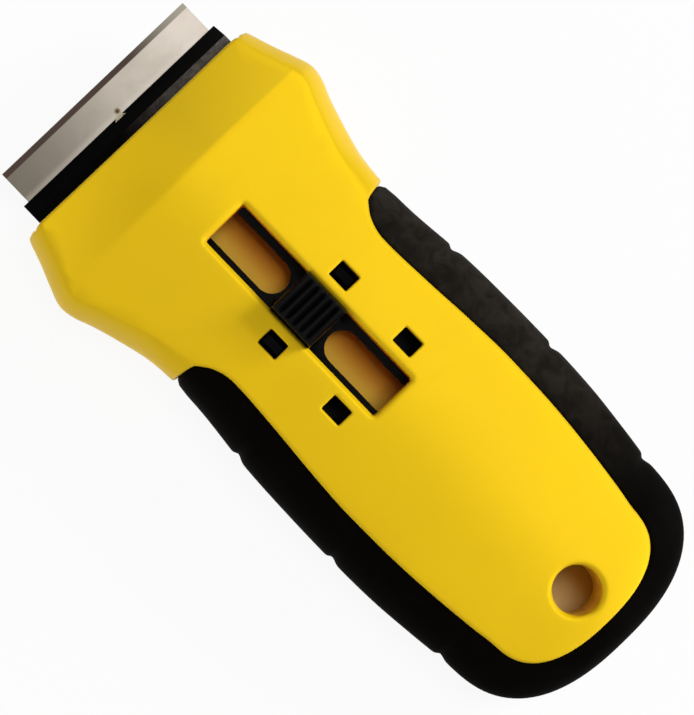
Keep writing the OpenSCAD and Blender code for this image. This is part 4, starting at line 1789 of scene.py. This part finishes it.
class SharedEffects:
    """Node groups that more than one finish uses."""

    def __init__(self) -> None:
        """Builds the groups."""
        self.grain = self._grain()
        self.marks_and_sheen_patches = self._marks_and_sheen_patches()
        self.scratches = self._scratches()

    def _grain(self) -> Tree:
        """Fine moulded grain: a height made of one noise.

        Returns:
            The group.
        """
        graph, given, out = new_group("MouldedGrain", "Height", Scale=2500.0, Roughness=0.6)
        fine = graph.noise(graph.own_place(), Scale=given.outputs["Scale"],
                           Roughness=given.outputs["Roughness"], Detail=3.0)
        graph.feed(out, Height=fine)
        return graph.tree

    def _marks_and_sheen_patches(self) -> Tree:
        """Broad uneven patches as hands and dust leave them, which also shape the painted sheen on rubber and
        coated steel: a mask from 0 to 1.

        Returns:
            The group.
        """
        middle = 0.5
        graph, given, out = new_group("HandlingMarks", "Mask", Scale=60.0, Spread=0.3)
        noise = graph.noise(graph.own_place(), Scale=given.outputs["Scale"],
                            Detail=5.0, Roughness=0.62, Distortion=0.6)
        low = graph.math("SUBTRACT", middle, given.outputs["Spread"])
        high = graph.math("ADD", middle, given.outputs["Spread"])
        graph.feed(out, Mask=graph.ramp(noise, low, high))
        return graph.tree

    def _scratches(self) -> Tree:
        """Thin broken lines along one direction: a mask from 0 to 1.

        Returns:
            The group.
        """
        top_level, soft = 0.72, 0.05
        graph, given, out = new_group("FineScratches", "Mask", Scale=220.0, Stretch=18.0, Angle=0.0,
                                      Share=0.1)
        turn = graph.node("VectorRotate", rotation_type="Z_AXIS")
        graph.feed(turn, Vector=graph.own_place(), Angle=given.outputs["Angle"])
        x, y, z = graph.axes(turn.outputs[0])
        stretched = graph.feed(graph.node("CombineXYZ"), X=graph.times(x, given.outputs["Stretch"]), Y=y, Z=z)
        noise = graph.noise(stretched.outputs[0], Scale=given.outputs["Scale"], Detail=4.0, Roughness=0.7)
        level = graph.times(graph.math("SUBTRACT", 1.0, given.outputs["Share"]), top_level)
        graph.feed(out, Mask=graph.ramp(graph.math("SUBTRACT", noise, level), 0.0, soft))
        return graph.tree


@dataclass(frozen=True)
class Finish:
    """A plain finish: two tones in uneven patches, grain and fine scratches."""

    name: str
    colour: Triple
    second: Triple
    roughness: Pair
    metallic: float = 0.0
    ior: float = 1.5
    grain_scale: float = 2500.0
    grain_depth: float = 0.02
    marks_scale: float = 60.0
    scratch_share: float = 0.0
    scratch_angle: float = 0.0
    scratch_scale: float = 220.0
    scratch_dulling: float = 0.1
    scratch_depth: float = 0.6
    marks_spread: float = 0.22
    bump_strength: float = 0.5

    def material(self, effects: SharedEffects) -> bpy.types.Material:
        """Builds the material.

        Args:
            effects: The shared node groups.

        Returns:
            The material.
        """
        made = bpy.data.materials.new(self.name)
        graph = fresh_graph(made)
        shader = graph.node("BsdfPrincipled")
        marks = graph.effect(effects.marks_and_sheen_patches, Scale=self.marks_scale, Spread=self.marks_spread)
        height = graph.effect(effects.grain, Scale=self.grain_scale)
        rough = graph.ramp(marks, 0, 1, *self.roughness)
        if self.scratch_share:
            lines = graph.effect(effects.scratches, Share=self.scratch_share, Angle=self.scratch_angle,
                                 Scale=self.scratch_scale)
            rough = graph.math("ADD", rough, graph.times(lines, self.scratch_dulling))
            height = graph.math("SUBTRACT", height, graph.times(lines, self.scratch_depth))
        bump = graph.feed(graph.node("Bump"), Strength=self.bump_strength, Distance=self.grain_depth * MM,
                          Height=height)
        colour = self.tint(graph, effects, graph.mix(marks, self.colour, self.second))
        graph.feed(shader, Base_Color=colour, Roughness=rough, Normal=bump.outputs[0], Metallic=self.metallic,
                   IOR=self.ior)
        graph.feed(graph.node("OutputMaterial"), Surface=shader.outputs[0])
        return made

    def tint(self, graph: Graph, effects: SharedEffects, colour: Socket) -> Socket:
        """Colour of the surface over its plain tones; a plain finish adds nothing."""
        return colour


@dataclass(frozen=True)
class MouldedYellow(Finish):
    """Yellow plastic with painted shade on the ramp, the right flank and in the latch windows, painted bounce
    light and shade inside the slot, and painted light inside the hanging hole.
    """

    # painted orange bounce light inside the slot; the second tone is painted shade for its right side
    inner: Triple = (0.98, 0.58, 0.07)
    inner_far_painted_shade: Triple = (0.98, 0.29, 0.025)
    inner_x: Pair = (-3.0, 3.5)
    # painted light on the wall inside the hanging hole
    hole_wall_painted_light: Triple = (0.96, 0.66, 0.12)
    # painted shade in the latch windows
    window: Triple = (0.02, 0.012, 0.003)
    # painted shade on the ramp, stronger to the right
    ramp: Triple = (0.76, 0.50, 0.012)
    ramp_y: Pair = (39.7, 40.3)
    ramp_x: Pair = (-3.0, 8.0)
    # painted shade on faces that turn to the right
    flank: Triple = (0.58, 0.375, 0.003)
    flank_x: Pair = (0.2, 0.62)
    inner_y: Pair = (-14.0, 34.0)
    inner_half: float = 12.0
    inner_z: Pair = (12.0, 13.0)
    slot_half: float = 4.6
    slot_z: Pair = (13.4, 15.8)
    hole: Pair = (0.0, -48.5)
    hole_r: float = 4.35
    hole_z: Pair = (10.5, 13.6)
    window_x: float = 7.6
    window_ys: tuple[float, ...] = (11.5, -2.6)
    window_half: Pair = (2.0, 2.4)
    window_z: Pair = (15.2, 16.0)
    base_z: Pair = (0.9, 1.6)

    def tint(self, graph: Graph, effects: SharedEffects, colour: Socket) -> Socket:
        """Paints shade on the ramp, the right flank and in the latch windows, paints bounce light and shade
        inside the slot, and paints light inside the hanging hole.

        Args:
            graph: Graph of the material.
            effects: The shared node groups.
            colour: The plain tones.

        Returns:
            The colour.
        """
        x, y, z = graph.place()
        side = graph.math("ABSOLUTE", x)
        above = graph.ramp(z, *self.base_z)
        zones = ((self.inner_half, self.inner_z), (self.slot_half, self.slot_z))
        parts = [graph.times(graph.within(side, 0, half), graph.ramp(z, *low, 1, 0)) for half, low in zones]
        along = graph.within(y, sum(self.inner_y) / 2, (self.inner_y[1] - self.inner_y[0]) / 2)
        slot = graph.times(above, along, graph.math("MAXIMUM", *parts))
        hole = graph.math("LESS_THAN", graph.far(x, y, self.hole), self.hole_r)
        hole = graph.times(above, hole, graph.ramp(z, *self.hole_z, 1, 0))
        windows = [graph.within(y, middle, self.window_half[1]) for middle in self.window_ys]
        window = graph.times(graph.within(side, self.window_x, self.window_half[0]),
                             graph.math("MAXIMUM", *windows), graph.ramp(z, *self.window_z, 1, 0), above)
        facing = graph.axes(graph.node("TexCoord").outputs["Normal"])[0]
        # painted shade on the ramp, then on the faces that turn to the right
        ramp = graph.times(graph.ramp(y, *self.ramp_y), graph.ramp(x, *self.ramp_x))
        colour = graph.mix(ramp, colour, self.ramp)
        colour = graph.mix(graph.ramp(facing, *self.flank_x), colour, self.flank)
        # painted bounce light and shade inside the slot, and painted light inside the hanging hole
        inner = graph.mix(graph.ramp(x, *self.inner_x), self.inner, self.inner_far_painted_shade)
        colour = graph.mix(hole, graph.mix(slot, colour, inner), self.hole_wall_painted_light)
        # painted shade in the latch windows
        return graph.mix(window, colour, self.window)


@dataclass(frozen=True)
class RubberWithPaintedSheen(Finish):
    """Black rubber with a painted grey sheen on the flank that looks to the light."""

    # painted grey sheen on the right flank, towards the front
    painted_sheen: Triple = (0.017, 0.0145, 0.0115)
    painted_sheen_x: Pair = (4.0, 20.0)
    painted_sheen_y: Pair = (-48.0, -16.0)
    patch_scale: float = 320.0
    patch_shares: Pair = (0.35, 1.0)

    def tint(self, graph: Graph, effects: SharedEffects, colour: Socket) -> Socket:
        """Paints a grey sheen on the right flank, towards the front, in uneven patches.

        Args:
            graph: Graph of the material.
            effects: The shared node groups.
            colour: The plain tones.

        Returns:
            The colour.
        """
        x, y, _ = graph.place()
        # uneven patches of painted sheen
        rubber_sheen_patches = graph.effect(effects.marks_and_sheen_patches, Scale=self.patch_scale)
        share = graph.times(graph.ramp(x, *self.painted_sheen_x), graph.ramp(y, *self.painted_sheen_y),
                            graph.ramp(rubber_sheen_patches, 0, 1, *self.patch_shares))
        return graph.mix(share, colour, self.painted_sheen)


@dataclass(frozen=True)
class GroundBlade(Finish):
    """Ground steel with a painted reflection that darkens it towards the left, a dark bevel at the edge and a
    painted highlight beside the jaw's lip.
    """

    # painted reflection, darker towards the left end
    painted_dark_end: Triple = (0.19, 0.165, 0.13)
    bevel: Triple = (0.075, 0.052, 0.042)
    # painted reflection, the bevel lighter towards its right end
    bevel_end: Triple = (0.40, 0.37, 0.30)
    spot: Triple = (0.10, 0.062, 0.01)
    half: float = 20.5
    bevel_y: Pair = (58.95, 59.1)
    spot_place: Pair = (0.35, 54.75)
    spot_r: float = 0.7
    # painted highlight on the strip beside the jaw's lip
    painted_sheen: Triple = (0.97, 0.87, 0.78)
    painted_sheen_y: Pair = (55.3, 54.1)
    painted_sheen_share: float = 0.2
    spot_core: float = 0.2
    bevel_start: float = 0.3

    def tint(self, graph: Graph, effects: SharedEffects, colour: Socket) -> Socket:
        """Darkens the left end as a painted reflection, darkens the bevel and a spot by the hole, and paints
        a highlight on the strip beside the jaw's lip.

        Args:
            graph: Graph of the material.
            effects: The shared node groups.
            colour: The plain tones.

        Returns:
            The colour.
        """
        x, y, _ = graph.place()
        # painted reflection, darker towards the left
        blade_tone = graph.mix(graph.ramp(x, self.half, -self.half), colour, self.painted_dark_end)
        # painted highlight beside the jaw's lip
        blade_tone = graph.mix(graph.ramp(y, *self.painted_sheen_y, 0, self.painted_sheen_share), blade_tone, self.painted_sheen)
        far = graph.far(x, y, self.spot_place)
        blade_tone = graph.mix(graph.ramp(far, self.spot_r, self.spot_core * self.spot_r), blade_tone, self.spot)
        # the bevel, lighter towards the right as painted reflection
        along = graph.ramp(x, self.bevel_start * self.half, self.half)
        return graph.mix(graph.ramp(y, *self.bevel_y), blade_tone, graph.mix(along, self.bevel, self.bevel_end))


@dataclass(frozen=True)
class CoatedSteel(Finish):
    """Black coated steel whose level faces carry grey dust and a painted sheen, in flecks and stronger to the
    right.
    """

    # grey dust and painted sheen on the level faces
    dust_and_sheen: Triple = (0.165, 0.146, 0.13)
    dust_and_sheen_scale: float = 900.0
    dust_and_sheen_x: Pair = (-3.0, 15.0)
    dust_and_sheen_shares: Pair = (0.01, 1.0)
    level_z: Pair = (0.9, 0.99)
    fleck_shares: Pair = (0.5, 1.0)

    def tint(self, graph: Graph, effects: SharedEffects, colour: Socket) -> Socket:
        """Lightens the faces that look up with dust and painted sheen, in flecks and stronger to the right.

        Args:
            graph: Graph of the material.
            effects: The shared node groups.
            colour: The plain tones.

        Returns:
            The colour.
        """
        level = graph.ramp(graph.axes(graph.node("NewGeometry").outputs["Normal"])[2], *self.level_z)
        fleck = graph.effect(effects.marks_and_sheen_patches, Scale=self.dust_and_sheen_scale)
        # dust and painted sheen in flecks, fading out towards the left
        share = graph.times(level, graph.ramp(fleck, 0, 1, *self.fleck_shares),
                            graph.ramp(graph.place()[0], *self.dust_and_sheen_x, *self.dust_and_sheen_shares))
        return graph.mix(share, colour, self.dust_and_sheen)


@dataclass(frozen=True)
class PinDarkerForward(Finish):
    """Bright steel, browner and darker where it stands in the blade."""

    # browner, darker tone forward of y 45 to 48 mm
    forward_tone: Triple = (0.42, 0.385, 0.27)
    forward_tone_y: Pair = (45.0, 48.0)

    def tint(self, graph: Graph, effects: SharedEffects, colour: Socket) -> Socket:
        """Makes the pieces near the blade's edge browner and darker."""
        return graph.mix(graph.ramp(graph.place()[1], *self.forward_tone_y), colour, self.forward_tone)


FINISHES = {
    "yellow_plastic": MouldedYellow(
        "YellowPlastic", (0.93, 0.605, 0.010), (0.90, 0.58, 0.012), (0.34, 0.42), ior=1.22,
        grain_scale=900.0, grain_depth=0.004, scratch_share=0.05, scratch_angle=0.6),
    "grip_rubber": RubberWithPaintedSheen(
        "GripRubber", (0.0015, 0.0012, 0.001), (0.003, 0.0025, 0.002), (0.55, 0.66), ior=1.06,
        grain_scale=2600.0, grain_depth=0.05, marks_scale=110.0),
    "black_plastic": Finish(
        "BlackPlastic", (0.0015, 0.0015, 0.0016), (0.003, 0.003, 0.0031), (0.28, 0.38), ior=1.15,
        grain_scale=1500.0, grain_depth=0.012),
    "black_steel": CoatedSteel(
        "BlackSteel", (0.0006, 0.0006, 0.0006), (0.0012, 0.0012, 0.0011), (0.36, 0.46), ior=1.06,
        grain_scale=3000.0, grain_depth=0.02, scratch_share=0.08),
    "blade_steel": GroundBlade(
        "BladeSteel", (0.77, 0.69, 0.60), (0.66, 0.59, 0.505), (0.34, 0.44), metallic=1.0,
        grain_scale=2500.0, grain_depth=0.003, marks_scale=140.0, scratch_share=0.1),
    "spine_steel": Finish(
        "SpineSteel", (0.40, 0.39, 0.38), (0.30, 0.29, 0.28), (0.38, 0.5), metallic=1.0,
        grain_depth=0.02, scratch_share=0.1),
    "spring_steel": Finish(
        "SpringSteel", (0.004, 0.004, 0.0045), (0.0025, 0.0025, 0.003), (0.30, 0.4), metallic=1.0),
    "pin_steel": PinDarkerForward(
        "PinSteel", (0.62, 0.61, 0.60), (0.52, 0.51, 0.50), (0.24, 0.34), metallic=1.0, scratch_share=0.1),
    "screw_steel": Finish(
        "ScrewSteel", (0.22, 0.22, 0.235), (0.14, 0.14, 0.15), (0.3, 0.42), metallic=1.0, grain_depth=0.02),
}


@dataclass(frozen=True)
class Lamp:
    """A square soft lamp aimed at the object."""

    name: str
    elevation: float
    turn: float
    level: float
    mirrored: bool = True
    distance: float = 1.2
    size: float = 0.4

    def build(self) -> None:
        """Adds the lamp; its level is the brightness that it gives a white face turned to it."""
        data = bpy.data.lights.new(self.name, "AREA")
        data.size = self.size
        data.energy = self.level * math.pi**2 * self.distance**2
        made = placed(self.name, data)
        e, a = math.radians(self.elevation), math.radians(self.turn)
        way = Vector((math.cos(e) * math.cos(a), math.cos(e) * math.sin(a), math.sin(e)))
        made.location = way * self.distance
        made.rotation_euler = way.to_track_quat("Z", "Y").to_euler()
        made.visible_glossy = self.mirrored


@dataclass
class Studio:
    """Floor, lamps, world and camera."""

    camera_mm: Triple = (-19.8, 5.8, 450.0)
    camera_deg: Triple = (1.39, -2.14, -43.88)
    lens_mm: float = 146.8
    sensor_mm: float = 36.0
    floor_half_m: float = 2.0
    world_level: float = 0.06
    veil: float = 0.93
    veil_r: Pair = (110.0, 420.0)
    hole: Pair = (0.0, -48.5)
    hole_shade_r: Pair = (6.0, 8.0)
    # painted orange bounce light on the floor under the hanging hole
    hole_floor_bounce_light: Triple = (0.66, 0.46, 0.20)
    floor_tone: Triple = (0.85, 0.85, 0.85)
    floor_drop: float = 0.02
    white: Triple = (1.0, 1.0, 1.0)
    clip_m: Pair = (0.01, 20.0)
    lamps: tuple[Lamp, ...] = (Lamp("Key", 22.0, -27.0, 1.1, False), Lamp("Glint", 24.0, -30.0, 0.14),
                               Lamp("Top", 73.0, -10.0, 0.39, False), Lamp("Fill", 5.0, 170.0, 0.50, False))

    def camera(self) -> None:
        """Puts the camera where the photograph was taken from."""
        data = bpy.data.cameras.new("Camera")
        data.sensor_fit = "HORIZONTAL"
        data.sensor_width = self.sensor_mm
        data.lens = self.lens_mm
        data.clip_start, data.clip_end = self.clip_m
        made = placed("Camera", data)
        made.location = Vector(self.camera_mm) * MM
        made.rotation_euler = [math.radians(a) for a in self.camera_deg]
        bpy.context.scene.camera = made

    def floor(self) -> None:
        """Lays a pale floor that shows white with a faint shadow, with painted orange bounce light on the
        floor under the hanging hole.
        """
        h = self.floor_half_m
        corners = np.array([(-h, -h, 0), (h, -h, 0), (h, h, 0), (-h, h, 0)])
        piece = new_piece("Floor", corners, [(0, 1, 2, 3)], 1.0)
        piece.location.z = -self.floor_drop * MM
        made = bpy.data.materials.new("Floor")
        graph = fresh_graph(made)
        white = graph.feed(graph.node("Emission"), Color=self.white, Strength=1.0)
        x, y, _ = graph.place()
        beside = graph.ramp(graph.far(x, y, self.hole), *self.hole_shade_r)
        # painted bounce light on the floor under the hanging hole
        tone = graph.mix(beside, self.hole_floor_bounce_light, self.floor_tone)
        diffuse = graph.feed(graph.node("BsdfDiffuse"), Color=tone)
        veil = graph.ramp(graph.far(x, y, (0.0, 0.0)), *self.veil_r, self.veil, 1.0)
        mixed = graph.feed(graph.node("MixShader"), Fac=graph.times(self._seen(graph), veil, beside))
        for socket, shader in zip(mixed.inputs[1:], (diffuse, white)):
            graph.put(socket, shader.outputs[0])
        graph.feed(graph.node("OutputMaterial"), Surface=mixed.outputs[0])
        piece.data.materials.append(made)

    def _seen(self, graph: Graph) -> Socket:
        """One where the camera sees a surface, straight or in metal or glass.

        Args:
            graph: Graph of the floor or the world.

        Returns:
            The mask.
        """
        rays = graph.node("LightPath")
        mirrored_too = graph.math("MAXIMUM", rays.outputs["Is Camera Ray"], rays.outputs["Is Glossy Ray"])
        return graph.math("MAXIMUM", mirrored_too, rays.outputs["Is Transmission Ray"])

    def world(self) -> None:
        """Lights the scene evenly from a world that shows white."""
        made = bpy.data.worlds.new("World")
        bpy.context.scene.world = made
        graph = fresh_graph(made)
        strength = graph.ramp(self._seen(graph), 0, 1, self.world_level, 1.0)
        back = graph.feed(graph.node("Background"), Color=self.white, Strength=strength)
        graph.feed(graph.node("OutputWorld"), Surface=back.outputs[0])

    def build(self) -> None:
        """Sets up the view and the light."""
        bpy.context.scene.view_settings.view_transform = "Standard"
        self.camera()
        self.floor()
        self.world()
        for lamp in self.lamps:
            lamp.build()


def clear_start_objects() -> None:
    """Deletes what Blender's own start scene holds beside the frame."""
    kept = {*frame["nodes"].values(), *frame["bodies"].values()}
    for other in [item for item in bpy.data.objects if item not in kept]:
        bpy.data.objects.remove(other)


def main() -> None:
    """Builds every sub-assembly in order and dresses it."""
    logging.basicConfig(level=logging.INFO, format="%(message)s")
    clear_start_objects()
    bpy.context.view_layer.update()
    Studio().build()
    pieces = [*Handle().build(), screws(), *Carriage().build(), *Latch().build(), ThumbPad().build()]
    effects = SharedEffects()
    materials = {slot: finish.material(effects) for slot, finish in FINISHES.items()}
    for piece in pieces:
        piece.data.materials.clear()
        piece.data.materials.append(materials[piece["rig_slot"]])
        LOG.info("%s: %d faces", piece.name, len(piece.data.polygons))


if __name__ == "__main__":
    main()
